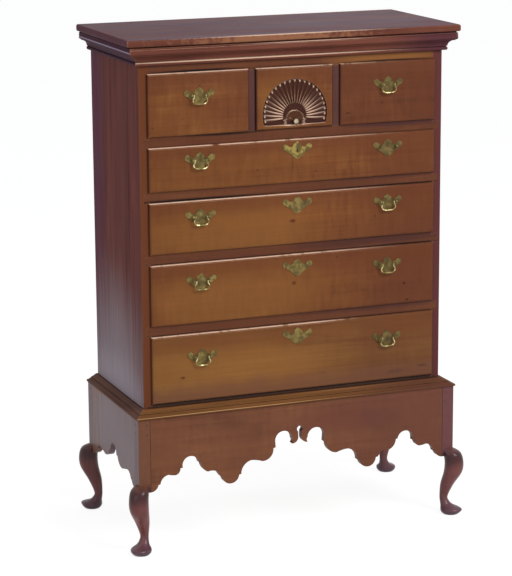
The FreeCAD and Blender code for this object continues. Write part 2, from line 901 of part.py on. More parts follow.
def bail(middle, height):
    """Hanging bail: a splayed bow with round corners, and at each end a square knuckle with a
    round pin turned out into the eye."""
    neck = eye_spacing / 2 - eye_width / 2 - bail_play - bail_radius
    half = bail_width / 2 - bail_radius
    centre = Vector(half - bail_corner, 0, bail_corner + bail_radius - bail_drop)
    pivot = Vector(middle, face_plane - eye_pivot, height)
    right = [Vector(neck, 0, 0), Vector(neck, 0, -bail_neck), Vector(half, 0, -bail_splay)]
    for index in range(bail_facets + 1):
        angle = -index * math.pi / 2 / bail_facets
        right.append(centre + Vector(math.cos(angle), 0, math.sin(angle)) * bail_corner)
    left = [Vector(-point.x, 0, point.z) for point in reversed(right)]
    bow = tube([pivot + point for point in right + left], bail_radius)
    shoulder = neck + bail_radius
    length = eye_spacing / 2 + eye_width / 2 + bail_end_show - shoulder
    ends = []
    for side in (1, -1):
        out = Vector(side, 0, 0)
        ends.append(prism(4, bail_knuckle, pivot + out * (neck - bail_radius), out, 2 * bail_radius))
        ends.append(Part.makeCylinder(pivot_radius, length, pivot + out * shoulder, out))
    return joined([bow] + ends)


def tube(points, radius):
    """Six-sided bar along straight runs, mitred where they meet."""
    runs = [(after - before).normalize() for before, after in zip(points, points[1:])]
    rings = [regular(6, radius, points[0], runs[0])]
    for place, run, next_run in zip(points[1:], runs, runs[1:] + runs[-1:]):
        normal = run + next_run
        rings.append([corner + run * ((place - corner).dot(normal) / run.dot(normal))
                      for corner in rings[-1]])
    return faceted(rings)


def keyhole(drawer):
    """Space of the keyhole, from the plate into the lock: a round top over a straight slot."""
    middle, height = drawer.key_plate()
    near = face_plane - plate_thickness - cut_margin
    far = drawer.front_back - lock_thickness / 2
    half = keyhole_radius * keyhole_waist
    rise = math.sqrt(keyhole_radius ** 2 - half ** 2)

    def at(x, z):
        return Vector(middle + x, near, height + z)

    foot = keyhole_radius - keyhole_height
    steps = [at(half, -rise), (at(0, keyhole_radius), at(-half, -rise)), at(-half, foot)]
    return board(at(half, foot), steps, Vector(0, far - near, 0))


def brasses(drawer):
    """Plates and posts of one drawer: its pulls, and on a long drawer the plate over the lock."""
    pieces = []
    for middle in drawer.pulls:
        pieces += pull(middle, drawer.pull_height())
    if drawer.row != "top":
        escutcheon = plate(*drawer.key_plate())
        pieces.append(escutcheon.cut(keyhole(drawer)) if drawer.locked else escutcheon)
    return pieces


# ---- fan and knob ----
def stilted_arch(foot, radius, stilt, depth):
    """Half round on two short straight sides, standing on the middle of its foot."""
    across = Vector(radius, 0, 0)
    spring = foot + Vector(0, 0, stilt)
    steps = [spring + across, (spring + Vector(0, 0, radius), spring - across), foot - across]
    return board(foot + across, steps, depth)


def fan_reach(angle):
    """Length of a ray from the fan's focus to just inside the round edge of the recess."""
    rise = fan_stilt - fan_focus
    edge = fan_radius - fan_margin
    return rise * math.sin(angle) + math.sqrt(edge ** 2 - (rise * math.cos(angle)) ** 2)


def fan_ray(focus, angle):
    """One ray: a three-flat ridge that widens and rises from the hub to a bevelled end."""
    out = Vector(math.cos(angle), 0, math.sin(angle))
    across = Vector(-math.sin(angle), 0, math.cos(angle))
    reach = fan_reach(angle)

    def ridge(distance, share):
        scale = share * distance / reach
        place = focus + out * distance
        foot = Vector(0, fan_ray_seat * scale, 0)
        crown = Vector(0, -fan_ray_height * scale, 0)
        wide = across * (fan_ray_width / 2 * scale)
        narrow = wide * fan_ray_crown
        return [place + foot + wide, place + crown + narrow,
                place + crown - narrow, place + foot - wide]

    return faceted([ridge(fan_hub_radius, 1), ridge(reach - fan_ray_end, 1),
                    ridge(reach, fan_ray_end_share)])


def fan_front(drawer):
    """Front of the fan drawer: recess, rays, and a plain raised half round at their foot."""
    middle = drawer.middle()
    foot = Vector(middle, face_plane, drawer.low + fan_base)
    recess = stilted_arch(foot, fan_radius, fan_stilt, Vector(0, fan_depth, 0))
    floor = foot + Vector(0, fan_depth, 0)
    lunette = stilted_arch(floor, lunette_radius, lunette_stilt, Vector(0, -lunette_height, 0))
    focus = floor + Vector(0, 0, fan_focus)
    rays = []
    for index in range(fan_rays):
        angle = (math.pi + 2 * fan_ray_droop) * index / (fan_rays - 1) - fan_ray_droop
        rays.append(fan_ray(focus, angle))
    pin = faceted([regular(knob_facets, knob_neck_radius,
                           Vector(middle, depth, drawer.low + knob_rise), Vector(0, -1, 0))
                   for depth in (drawer.front_back, face_plane)])
    return joined([drawer.front().cut(recess), lunette] + rays).cut(pin)


def fan_knob(drawer):
    """Small turned brass knob at the foot of the fan, on a pin through the drawer front."""
    inside = -front_body - lip_thickness
    profile = [(knob_neck_radius, inside), (knob_neck_radius, knob_neck),
               (knob_radius, knob_length * 0.66), (knob_radius * 0.8, knob_length * 0.88),
               (knob_radius * 0.4, knob_length)]
    at = Vector(drawer.middle(), face_plane, drawer.low + knob_rise)
    out = Vector(0, -1, 0)
    return faceted([regular(knob_facets, radius, at + out * proud, out)
                    for radius, proud in profile])


# ---- lock of the first long drawer ----
def lock_place(drawer):
    """Space of the lock case, let in from the back and the top edge of the drawer front."""
    middle, _ = drawer.key_plate()
    top = drawer.high - lip
    return ((middle - lock_width / 2, middle + lock_width / 2),
            (drawer.front_back - lock_thickness, drawer.front_back), (top - lock_height, top))


def bolt_space(drawer, gap, rise):
    """Space of the sliding bolt, with a gap all round, raised by its travel."""
    xs, ys, zs = lock_place(drawer)
    middle = (xs[0] + xs[1]) / 2
    half = bolt_width / 2 + gap
    depth = (ys[0] + ys[1]) / 2
    reach = bolt_thickness / 2 + gap
    top = zs[1] - lock_fit
    return slab((middle - half, middle + half), (depth - reach, depth + reach),
                (top - bolt_length - gap, top + rise + gap))


def main():
    os.makedirs("parts", exist_ok=True)
    names = {(-1, -1): "front_left_leg", (1, -1): "front_right_leg",
             (-1, 1): "back_left_leg", (1, 1): "back_right_leg"}
    for (side, front), name in names.items():
        save(name, leg(side, front))
    save("front_apron", front_apron())
    save("left_apron", side_apron(-1))
    save("right_apron", side_apron(1))
    save("back_apron", back_apron())
    save("case_bearers", case_bearers())
    save("joint_pegs", [one for corner in names for one in corner_pegs(*corner)])
    for name, piece in waist_mouldings().items():
        save("waist_moulding_" + name, piece)
    for name, piece in cornices().items():
        save("cornice_" + name, piece)

    save("left_side", case_side(-1))
    save("right_side", case_side(1))
    save("top_board", top_board())
    save("back_boards", back_boards())
    save("bottom_boards", bottom_boards())
    save("drawer_runners", drawer_runners())
    save("top_row_dividers", top_row_dividers())
    save("top_row_runners", top_row_runners())
    rails = [cross_rail(span) for span in rail_spans()]
    drawers = make_drawers()
    locked = next(drawer for drawer in drawers if drawer.locked)
    bolt_way = bolt_space(locked, lock_fit, bolt_travel)
    above = drawer_rows.index(locked.row) + 1
    rails[above] = rails[above].cut(bolt_space(locked, bolt_socket_room, bolt_travel))
    save("front_rail", rails[0])
    save("drawer_blades", rails[1:-1])
    save("top_rail", rails[-1])

    recess = slab(*lock_place(locked))
    save("lock_case", recess.cut([bolt_way, keyhole(locked)]))
    save("lock_bolt", bolt_space(locked, 0, 0))
    for drawer in drawers:
        front = drawer.front()
        if drawer.locked:
            front = front.cut([recess, bolt_way, keyhole(locked)])
        if drawer.name == "fan_drawer":
            front = fan_front(drawer)
            save("fan_knob", fan_knob(drawer))
        else:
            save(drawer.name + "_brasses", brasses(drawer))
        save(drawer.name + "_front", front)
        save(drawer.name + "_box", drawer.box())
        for middle in drawer.pulls:
            end = "left" if middle < 0 else "right"
            if drawer.locked and end == "right":
                continue
            hand = "" if drawer.row == "top" else end + "_"
            save(drawer.name + "_" + hand + "bail", bail(middle, drawer.pull_height()))


main()
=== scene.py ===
"""Looks of a Queen Anne highboy: an upper case of seven drawers on a low frame with cabriole legs.

Metres, X to the right, Y to the back, Z up from the floor. A piece takes its place from the CAD node
that it stands for, and the forms that a node can't say are fields of the classes below.
"""

from __future__ import annotations

import logging
import math
from dataclasses import dataclass, replace
from enum import Enum
from typing import Any, Callable, Sequence, Union

import bmesh
import bpy
from mathutils import Matrix, Vector

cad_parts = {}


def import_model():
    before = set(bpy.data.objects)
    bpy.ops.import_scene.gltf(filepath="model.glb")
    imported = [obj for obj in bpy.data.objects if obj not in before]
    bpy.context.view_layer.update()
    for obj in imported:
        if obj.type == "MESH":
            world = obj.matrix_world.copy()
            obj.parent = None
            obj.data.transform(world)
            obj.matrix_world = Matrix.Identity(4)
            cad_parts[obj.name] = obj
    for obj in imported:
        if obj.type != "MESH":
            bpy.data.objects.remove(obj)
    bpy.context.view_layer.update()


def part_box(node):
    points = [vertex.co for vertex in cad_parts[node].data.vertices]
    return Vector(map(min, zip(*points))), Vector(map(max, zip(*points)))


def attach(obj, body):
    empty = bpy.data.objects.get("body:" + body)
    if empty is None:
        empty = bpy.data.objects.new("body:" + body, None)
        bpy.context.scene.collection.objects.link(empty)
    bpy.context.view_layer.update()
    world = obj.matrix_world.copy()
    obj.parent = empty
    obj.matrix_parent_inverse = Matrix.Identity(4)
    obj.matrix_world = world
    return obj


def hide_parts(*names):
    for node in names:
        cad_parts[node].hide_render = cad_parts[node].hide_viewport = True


log = logging.getLogger("highboy")

Pair = tuple[float, float]
Triple = tuple[float, float, float]
Colour = Triple
Mesh = bmesh.types.BMesh
HANDS = ((-1, "left"), (1, "right"))
RIGHT, BACK, UP = Vector((1, 0, 0)), Vector((0, 1, 0)), Vector((0, 0, 1))
# Metres within which two points are one, and degrees from which an edge stays crisp.
TINY = 1e-6
CRISP = 34.0


def tone(*levels: float) -> Colour:
    """Linear colour from the usual levels of 0 to 255 for red, green and blue."""
    shares = [level / 255 for level in levels]
    return tuple(s / 12.92 if s <= 0.04045 else ((s + 0.055) / 1.055) ** 2.4 for s in shares)


# ---------------------------------------------------------------- shader graph
Operand = Union["Sock", float]


def arithmetic(operation: str, reflected: bool = False) -> Callable[["Sock", Operand], "Sock"]:
    """Makes one of a socket's arithmetic operators.

    Args:
        operation: operation of the Math node that it adds.
        reflected: whether the socket stands on the right.

    Returns:
        The operator.
    """
    def apply(sock: "Sock", other: Operand) -> "Sock":
        """Adds the Math node."""
        first, second = (other, sock) if reflected else (sock, other)
        return sock.graph.maths(operation, first, second)
    return apply


class Sock:
    """An output socket whose arithmetic adds Math nodes to its graph."""

    __add__, __radd__ = arithmetic("ADD"), arithmetic("ADD", True)
    __sub__, __rsub__ = arithmetic("SUBTRACT"), arithmetic("SUBTRACT", True)
    __mul__, __rmul__ = arithmetic("MULTIPLY"), arithmetic("MULTIPLY", True)
    __truediv__, __rtruediv__ = arithmetic("DIVIDE"), arithmetic("DIVIDE", True)

    def __init__(self, graph: "Graph", socket: bpy.types.NodeSocket | None) -> None:
        """Wraps a socket of a graph."""
        self.graph = graph
        self.socket = socket

    def __abs__(self) -> "Sock":
        """The value without its sign."""
        return self.graph.maths("ABSOLUTE", self, 0.0)

    def clamped(self) -> "Sock":
        """The value held between 0 and 1."""
        return self.graph.maths("MAXIMUM", self.graph.maths("MINIMUM", self, 1.0), 0.0)

    def ease(self, low: float, high: float) -> "Sock":
        """Smooth step from 0 at the low value to 1 at the high one, which may be the lesser."""
        return self.graph.node("MapRange", {"interpolation_type": "SMOOTHSTEP"},
                               {0: self, 1: low, 2: high})


class Graph:
    """The node tree of a material or of the room."""

    def __init__(self, owner: Union[bpy.types.Material, bpy.types.World]) -> None:
        """Empties a tree.

        Args:
            owner: the material or world that it belongs to.
        """
        owner.use_nodes = True
        self.owner = owner
        self.tree = owner.node_tree
        self.tree.nodes.clear()

    def node(self, kind: str, settings: dict[str, Any] | None = None,
             inputs: dict[Any, Any] | None = None, output: Union[str, int] = 0) -> Sock:
        """Adds a node of any type.

        Args:
            kind: node type without its ShaderNode prefix.
            settings: attributes, set before the sockets.
            inputs: values or Socks by socket name or index.
            output: name or index of the output that is wanted.

        Returns:
            That output, or an empty Sock where the node has none.
        """
        made = self.tree.nodes.new("ShaderNode" + kind)
        for name, value in (settings or {}).items():
            setattr(made, name, value)
        for name, value in (inputs or {}).items():
            if isinstance(value, Sock):
                self.tree.links.new(value.socket, made.inputs[name])
            else:
                made.inputs[name].default_value = value
        return Sock(self, made.outputs[output] if made.outputs else None)

    def maths(self, operation: str, first: Operand, second: Operand) -> Sock:
        """Adds a Math node."""
        return self.node("Math", {"operation": operation}, {0: first, 1: second})

    def vectors(self, operation: str, first: Any, second: Any) -> Sock:
        """Adds a Vector Math node."""
        return self.node("VectorMath", {"operation": operation}, {0: first, 1: second})

    def length(self, vector: Sock) -> Sock:
        """Length of a vector."""
        return self.node("VectorMath", {"operation": "LENGTH"}, {0: vector}, "Value")

    def mix(self, first: Any, second: Any, share: Operand) -> Sock:
        """Mixes two colours.

        Args:
            first: colour at a share of 0.
            second: colour at a share of 1.
            share: how much of the second shows.

        Returns:
            The mixed colour.
        """
        pair = [value if isinstance(value, Sock) else (*value, 1.0) for value in (first, second)]
        return self.node("Mix", {"data_type": "RGBA"}, {0: share, 6: pair[0], 7: pair[1]}, 2)

    def place(self) -> Sock:
        """Coordinates of the object in the row frame, in metres."""
        return self.node("TexCoord", output="Object")

    def noise(self, vector: Sock, scale: float = 1.0, detail: float = 3.0,
              roughness: float = 0.5, distortion: float = 0.0) -> Sock:
        """Noise between 0 and 1 at a vector."""
        sockets = {"Vector": vector, "Scale": scale, "Detail": detail, "Roughness": roughness}
        return self.node("TexNoise", None, {**sockets, "Distortion": distortion}, "Fac")

    def outward_edges(self, reach: float) -> Sock:
        """1 on outward edges and 0 on flats, from how soon a ray into the body comes out."""
        return 1.0 - self.node("AmbientOcclusion", {
            "inside": True, "only_local": True, "samples": 6}, {"Distance": reach}, "AO")

    def crevice(self, reach: float) -> Sock:
        """1 deep in a joint or corner and 0 on open faces."""
        return 1.0 - self.node("AmbientOcclusion", {"samples": 6}, {"Distance": reach}, "AO")

    def along(self, axis: str) -> Sock:
        """How far a point lies along an axis, in metres."""
        return self.node("SeparateXYZ", None, {0: self.place()}, axis)

    def facing(self, axis: str) -> Sock:
        """Part of the surface's normal along an axis, from -1 to 1."""
        return self.node("SeparateXYZ", None, {0: self.node("NewGeometry", output="Normal")}, axis)

    def bump(self, height: Sock, strength: float, depth: float) -> Sock:
        """Normal of a surface raised by a height, depth metres at most."""
        return self.node("Bump", None, {"Strength": strength, "Distance": depth, "Height": height})

    def surface(self, **sockets: Any) -> bpy.types.Material:
        """Closes the graph with one Principled shader.

        Args:
            sockets: values and Socks by socket name, with _ for a space.

        Returns:
            The finished material.
        """
        named = {name.replace("_", " "): value for name, value in sockets.items()}
        self.node("OutputMaterial", None, {"Surface": self.node("BsdfPrincipled", None, named)})
        return self.owner


def new_graph(name: str) -> Graph:
    """Starts a new material."""
    return Graph(bpy.data.materials.new(name))


# ---------------------------------------------------------------- finishes
class Grain(Enum):
    """Axis that the wood's fibres run along."""

    X = 0
    Y = 1
    Z = 2


DARK = tone(40, 16, 10)


@dataclass(frozen=True)
class Patch:
    """A soft patch of another tone, such as a knot, a stain, wear, painted shade and a painted
    highlight.

    Its middle and half sizes are along the row frame's axes, and a half size of 0 has no limit.
    """

    middle: Triple
    half: Triple
    tone: Colour = DARK
    share: float = 0.7
    ragged: float = 0.5
    weave: Triple = (1.0, 1.0, 1.0)

    def mask(self, graph: Graph) -> Sock:
        """Paints the patch's shape.

        Args:
            graph: the wood's graph.

        Returns:
            How much of the patch shows at a point.
        """
        away = graph.vectors("SUBTRACT", graph.place(), self.middle)
        scale = tuple(1 / size if size else 0.0 for size in self.half)
        least = min(size for size in self.half if size)
        woven = graph.vectors("MULTIPLY", graph.place(), self.weave)
        ripple = (graph.noise(woven, 0.9 / least, 2.0) - 0.5) * self.ragged
        far = graph.length(graph.vectors("MULTIPLY", away, scale)) + ripple
        return far.ease(1.1, 0.3) * self.share


def mark(x: float, z: float, wide: float, tall: float, *look: Any) -> Patch:
    """A patch on the front, through its whole depth: middle, half sizes and further fields."""
    return Patch((x, 0.0, z), (wide, 0.0, tall), *look)


def knot(x: float, z: float, half: float = 0.004, share: float = 0.6) -> Patch:
    """A small dark knot in a drawer front."""
    return mark(x, z, half, half * 0.75, DARK, share)


@dataclass(frozen=True)
class Wood:
    """Old varnished wood with growth streaks, curl, knots, worn edges with painted highlights, and
    grime with painted shade in its joints.

    rim paints a pale line of wear and painted highlight on what looks up as rim_facing says, fading
    out to the right over rim_fade; flank paints shade on what looks sideways, and bloom with a painted
    sheen dusts what looks straight up.
    """

    name: str
    dark: Colour
    body: Colour
    light: Colour
    grain: Grain = Grain.X
    seed: float = 0.0
    streak: float = 1.0
    curl: float = 0.35
    blotch: float = 0.8
    patches: tuple[Patch, ...] = ()
    wear_and_highlight: float = 0.5
    wear_and_highlight_tone: Colour = tone(196, 150, 112)
    wear_and_highlight_reach: float = 0.0035
    grime_and_shade: float = 0.85
    grime_and_shade_reach: float = 0.014
    grime_and_shade_tone: Colour = tone(22, 10, 8)
    rim: float = 0.0
    rim_highlight_tone: Colour = tone(222, 184, 158)
    rim_fade: Pair = (9.0, 10.0)
    rim_facing: Pair = (0.2, 0.7)
    flank: float = 0.0
    flank_tone: Colour = tone(56, 28, 28)
    bloom_and_sheen: float = 0.0
    bloom_and_sheen_tone: Colour = tone(100, 90, 100)
    roughness: float = 0.38
    specular: float = 0.1
    coat: float = 0.04

    def layer(self, graph: Graph, along: float, across: float, *shape: float) -> Sock:
        """Noise drawn out with the fibres.

        Args:
            graph: the wood's graph.
            along: cycles per metre along the fibres.
            across: cycles per metre across them.
            shape: detail, roughness and distortion of the noise.

        Returns:
            The noise, from 0 to 1.
        """
        scale = [across] * 3
        scale[self.grain.value] = along
        shift = (self.seed * 3.1, self.seed * 1.7, self.seed * 2.3)
        moved = graph.vectors("ADD", graph.place(), shift)
        return graph.noise(graph.vectors("MULTIPLY", moved, tuple(scale)), 1.0, *shape)

    def material(self) -> bpy.types.Material:
        """Builds the wood's material.

        Returns:
            The material.
        """
        graph = new_graph(self.name)
        flow = self.layer(graph, 1.1, 7.0, 2.0)
        wander = self.layer(graph, 2.6, 26.0, 3.0, 0.55, 0.6)
        rings = self.layer(graph, 1.6, 95.0, 3.0, 0.55, 0.9)
        fibre = self.layer(graph, 16.0, 900.0, 2.0, 0.6)
        curl = self.layer(graph, 62.0, 13.0, 2.0, 0.5, 0.5)
        cloud = self.layer(graph, 5.0, 9.0, 3.0, 0.6)
        pores = self.layer(graph, 75.0, 1300.0, 1.0).ease(0.66, 0.8)
        depth = ((rings - 0.5) * (0.55 * self.streak) + (wander - 0.5) * (0.7 * self.streak)
                 + (curl - 0.5) * self.curl + (fibre - 0.5) * 0.22 + (flow - 0.5) * 0.5)
        colour = graph.mix(self.dark, self.body, (depth + 0.62).ease(0.1, 0.75))
        bright = (depth + (cloud - 0.5) * self.blotch).ease(0.05, 0.6)
        colour = graph.mix(colour, self.light, bright)
        colour = graph.mix(colour, self.dark, (0.5 - cloud).ease(0.02, 0.3) * (0.5 * self.blotch))
        colour = graph.mix(colour, self.grime_and_shade_tone, pores * 0.35)
        for patch in self.patches:
            colour = graph.mix(colour, patch.tone, patch.mask(graph))
        rough = self.roughness + (cloud - 0.5) * 0.16 + (fibre - 0.5) * 0.08
        return graph.surface(
            Base_Color=self.aged(graph, colour), Roughness=rough.clamped(),
            Normal=graph.bump(rings * 0.4 + fibre * 0.6, 0.3, 0.0003),
            Specular_IOR_Level=self.specular, Coat_Weight=self.gloss(graph), Coat_Roughness=0.16)

    def gloss(self, graph: Graph) -> Operand:
        """How much clear varnish shows."""
        return self.coat

    def aged(self, graph: Graph, colour: Sock) -> Sock:
        """Adds bloom with a painted sheen, worn edges with painted highlights, painted shade on
        flanks, a pale upper rim of wear and painted highlight, and grime with painted shade in joints
        to a colour.

        Args:
            graph: the material's graph.
            colour: the clean wood.

        Returns:
            The colour with its age.
        """
        # Bloom with a painted sheen on faces that look straight up.
        if self.bloom_and_sheen:
            streaks = self.layer(graph, 1.2, 22.0, 4.0, 0.65).ease(0.3, 0.62)
            dusty_sheen = graph.facing("Z").ease(0.6, 0.95) * (streaks * 0.65 + 0.35) * self.bloom_and_sheen
            colour = graph.mix(colour, self.bloom_and_sheen_tone, dusty_sheen.clamped())
        # Pale worn edges, stronger where they look up: wear, and a painted highlight where light from
        # above catches them.
        if self.wear_and_highlight:
            patchy = graph.noise(graph.place(), 38.0, 3.0, 0.6).ease(0.28, 0.62)
            upward = graph.facing("Z").ease(-0.35, 0.7) * 0.75 + 0.25
            worn_and_lit = graph.outward_edges(self.wear_and_highlight_reach).ease(0.12, 0.6) * (patchy * 0.7 + 0.3) * upward
            colour = graph.mix(colour, self.wear_and_highlight_tone, (worn_and_lit * self.wear_and_highlight).clamped())
        # Painted shade on faces that look sideways.
        if self.flank:
            sideways = abs(graph.facing("X")).ease(0.15, 0.75)
            colour = graph.mix(colour, self.flank_tone, sideways * self.flank)
        # A broken pale line on edges that look up, fading to the right: wear and a painted highlight.
        if self.rim:
            broken = self.layer(graph, 26.0, 4.0, 3.0, 0.7).ease(0.26, 0.46)
            fade = graph.along("X").ease(*reversed(self.rim_fade))
            pale = graph.facing("Z").ease(*self.rim_facing) * broken * fade
            colour = graph.mix(colour, self.rim_highlight_tone, pale * self.rim)
        # Darker in joints and corners: grime and painted shade.
        if self.grime_and_shade:
            crevice_dark = graph.crevice(self.grime_and_shade_reach).ease(0.2, 0.9) * self.grime_and_shade
            colour = graph.mix(colour, self.grime_and_shade_tone, crevice_dark.clamped())
        return colour


@dataclass(frozen=True)
class FanWood(Wood):
    """Wood of the fan drawer, with painted shade in the hollows of the carving and a painted
    highlight, with wear, on its crests.

    face is the drawer's face, height the middle of the carving, and depth how deep it is sunk.
    """

    face: float = -0.2038
    depth: float = 0.004
    half_width: float = 0.104
    half_height: float = 0.0785
    height: float = 1.2697
    border: float = 0.002
    hollow_shade_tone: Colour = tone(50, 22, 18)
    crest_highlight_tone: Colour = tone(206, 164, 134)

    def aged(self, graph: Graph, colour: Sock) -> Sock:
        """Adds the carving's painted shade and its crests, rubbed and painted with a highlight, under
        the other signs of age.

        Args:
            graph: the material's graph.
            colour: the clean wood.

        Returns:
            The colour with its age.
        """
        # Painted shade grows with the carving's depth, and its crests take a painted highlight with
        # wear.
        sunk = (graph.along("Y") - self.face) / self.depth
        colour = graph.mix(colour, self.hollow_shade_tone, sunk.ease(0.03, 0.7) * 0.92)
        crest = sunk.ease(0.03, 0.1) * sunk.ease(0.5, 0.26)
        for axis, middle, half in (("X", 0.0, self.half_width), ("Z", self.height, self.half_height)):
            crest = crest * abs(graph.along(axis) - middle).ease(half, half - self.border)
        rubbed_and_lit = graph.noise(graph.place(), 90.0, 2.0).ease(0.3, 0.55) * 0.6 + 0.3
        return super().aged(graph, graph.mix(colour, self.crest_highlight_tone, crest * rubbed_and_lit))


@dataclass(frozen=True)
class LegWood(Wood):
    """The post's golden wood above, and the redder, darker and glossier wood of the carved leg."""

    joint: float = 0.18
    seam: float = 0.0
    seam_half: float = 0.0024
    post_tone: Colour = tone(122, 80, 60)
    seam_tone: Colour = tone(52, 28, 24)
    left_bloom_and_sheen_tone: Colour = tone(112, 96, 104)
    knee_shade_tone: Colour = tone(44, 24, 30)
    foot_tone: Colour = tone(80, 64, 80)

    def gold(self, graph: Graph) -> tuple[Sock, Sock]:
        """Finds the golden post.

        Args:
            graph: the material's graph.

        Returns:
            1 on the post and 0 on the leg, and the ripple that breaks the line between them.
        """
        ripple = graph.noise(graph.place(), 60.0, 3.0)
        lifted = graph.along("Z") + (ripple - 0.5) * 0.01
        return lifted.ease(self.joint + 0.004, self.joint + 0.03), ripple

    def gloss(self, graph: Graph) -> Operand:
        """How much clear varnish shows: none on the post."""
        return (1.0 - self.gold(graph)[0]) * self.coat

    def aged(self, graph: Graph, colour: Sock) -> Sock:
        """Adds painted shade on the knee, the post with its seam, bloom with a painted sheen on the
        post's left face, and the purple-grey foot over the signs of age.

        Args:
            graph: the material's graph.
            colour: the clean wood.

        Returns:
            The colour with its age.
        """
        gold, ripple = self.gold(graph)
        high = graph.along("Z")
        # Painted shade on the top of the knee, just under the post.
        brow = high.ease(self.joint - 0.045, self.joint - 0.004) * 0.75
        # Grey bloom with a painted sheen on the post's left face.
        leftward = graph.facing("X").ease(-0.4, -0.9) * gold * 0.85
        beside = abs(graph.along("X") - self.seam).ease(self.seam_half, 0.0005)
        colour = graph.mix(super().aged(graph, colour), self.knee_shade_tone, brow)
        colour = graph.mix(colour, self.post_tone, gold * (ripple * 0.3 + 0.7))
        colour = graph.mix(colour, self.left_bloom_and_sheen_tone, leftward)
        colour = graph.mix(colour, self.seam_tone, beside * gold * 0.8)
        return graph.mix(colour, self.foot_tone, high.ease(0.075, 0.0) * 0.7)


@dataclass(frozen=True)
class Brass:
    """Old cast brass, dull olive in its hollows and bright where hands have rubbed it.

    It is rubbed bright only under a given height, or everywhere for 0; on a bail this paints a
    highlight on the bow and shade on the legs above. shaded is how much of its stain darkens it
    towards the right.
    """

    name: str
    bright: Colour = tone(186, 164, 100)
    dull: Colour = tone(110, 93, 48)
    stain: Colour = tone(70, 55, 30)
    polish: float = 0.25
    metal: float = 0.4
    roughness: float = 0.42
    tarnish: float = 0.8
    rubbed_and_lit_below: float = 0.0
    shaded: float = 0.4

    def material(self) -> bpy.types.Material:
        """Builds the brass material.

        Returns:
            The material.
        """
        graph = new_graph(self.name)
        cloud = graph.noise(graph.place(), 75.0, 2.0, 0.5, 0.2)
        specks = graph.noise(graph.place(), 1400.0, 2.0)
        edge = graph.outward_edges(0.0007).ease(0.15, 0.7)
        rubbed_and_lit = (edge * 0.6 + (0.52 - cloud).ease(0.0, 0.2) * self.polish).clamped()
        # On a bail, brightness only below the pivot is a painted highlight on the bow, and the dull
        # legs above are painted shade.
        if self.rubbed_and_lit_below:
            low = graph.along("Z").ease(self.rubbed_and_lit_below + 0.004, self.rubbed_and_lit_below - 0.006)
            rubbed_and_lit = rubbed_and_lit * low
        crevice_dark = graph.crevice(0.004).ease(0.3, 0.95)
        aside = graph.along("X").ease(0.1, 0.28)
        colour = graph.mix(self.dull, self.stain, cloud.ease(0.4, 0.75) * 0.8)
        colour = graph.mix(colour, self.bright, rubbed_and_lit)
        colour = graph.mix(colour, self.stain, crevice_dark * self.tarnish)
        colour = graph.mix(colour, self.stain, aside * self.shaded)
        rough = self.roughness + (1.0 - rubbed_and_lit) * 0.12 + (specks - 0.5) * 0.08
        return graph.surface(
            Base_Color=colour, Roughness=rough.clamped(), Specular_IOR_Level=0.3,
            Metallic=rubbed_and_lit * (1.0 - self.metal) + self.metal,
            Normal=graph.bump(cloud + specks * 0.1, 0.2, 0.0002))


@dataclass(frozen=True)
class Iron:
    """Hand-filed iron of the lock, brown with old rust."""

    name: str
    metal: Colour = tone(92, 88, 84)
    rust: Colour = tone(92, 52, 30)

    def material(self) -> bpy.types.Material:
        """Builds the iron material.

        Returns:
            The material.
        """
        graph = new_graph(self.name)
        scale = graph.noise(graph.place(), 300.0, 5.0, 0.7)
        filing = graph.noise(graph.vectors("MULTIPLY", graph.place(), (60.0, 60.0, 1800.0)))
        rusted = scale.ease(0.45, 0.62)
        return graph.surface(
            Base_Color=graph.mix(self.metal, self.rust, rusted), Metallic=1.0 - rusted * 0.85,
            Roughness=0.42 + rusted * 0.4, Normal=graph.bump(scale + filing * 0.4, 0.4, 0.0003))


HONEY = Wood("honey_front", tone(90, 48, 25), tone(115, 67, 34), tone(132, 84, 43),
             curl=0.8, rim=0.95, rim_fade=(-0.02, 0.36), flank=0.6)
# The fan's strong pale edges are wear and a painted highlight on the carving's thin crests.
FAN = replace(FanWood(**vars(HONEY)), wear_and_highlight=1.2, wear_and_highlight_reach=0.002, wear_and_highlight_tone=tone(214, 176, 150))
RAIL = Wood("rail_wood", tone(68, 34, 24), tone(100, 57, 36), tone(120, 73, 44),
            wear_and_highlight=0.35, curl=0.2, grime_and_shade_reach=0.016, grime_and_shade=1.0)
# The front rail's wood is a darker copy of the rails': painted shade under the bottom drawer.
SILL = replace(RAIL, dark=tone(46, 28, 22), body=tone(76, 50, 40), light=tone(94, 66, 50))
DIVIDER = replace(RAIL, dark=tone(62, 36, 34), body=tone(88, 54, 48), light=tone(106, 68, 60),
                  grain=Grain.Z)
STILE = Wood("side_wood", tone(82, 36, 32), tone(107, 54, 48), tone(124, 68, 60), Grain.Z,
             wear_and_highlight=0.4, curl=0.1, blotch=0.6, specular=0.008, coat=0.0, grime_and_shade=0.3, streak=1.9)
TOP = Wood("top_wood", tone(70, 38, 34), tone(106, 62, 50), tone(138, 92, 76), wear_and_highlight=1.0,
           wear_and_highlight_tone=tone(190, 140, 112), wear_and_highlight_reach=0.006, grime_and_shade=0.3, specular=0.014, coat=0.0,
           curl=0.1, roughness=0.42, bloom_and_sheen=0.8, bloom_and_sheen_tone=tone(78, 60, 74), flank=0.7,
           flank_tone=tone(84, 46, 66))
CORNICE = Wood("cornice_wood", tone(76, 42, 36), tone(112, 66, 54), tone(136, 86, 68), wear_and_highlight=0.3,
               wear_and_highlight_reach=0.004, curl=0.05, grime_and_shade_reach=0.02, grime_and_shade=1.1, rim=0.9,
               rim_fade=(0.0, 0.36), rim_facing=(0.4, 0.8), flank=0.85,
               flank_tone=tone(72, 40, 58), specular=0.006, coat=0.0)
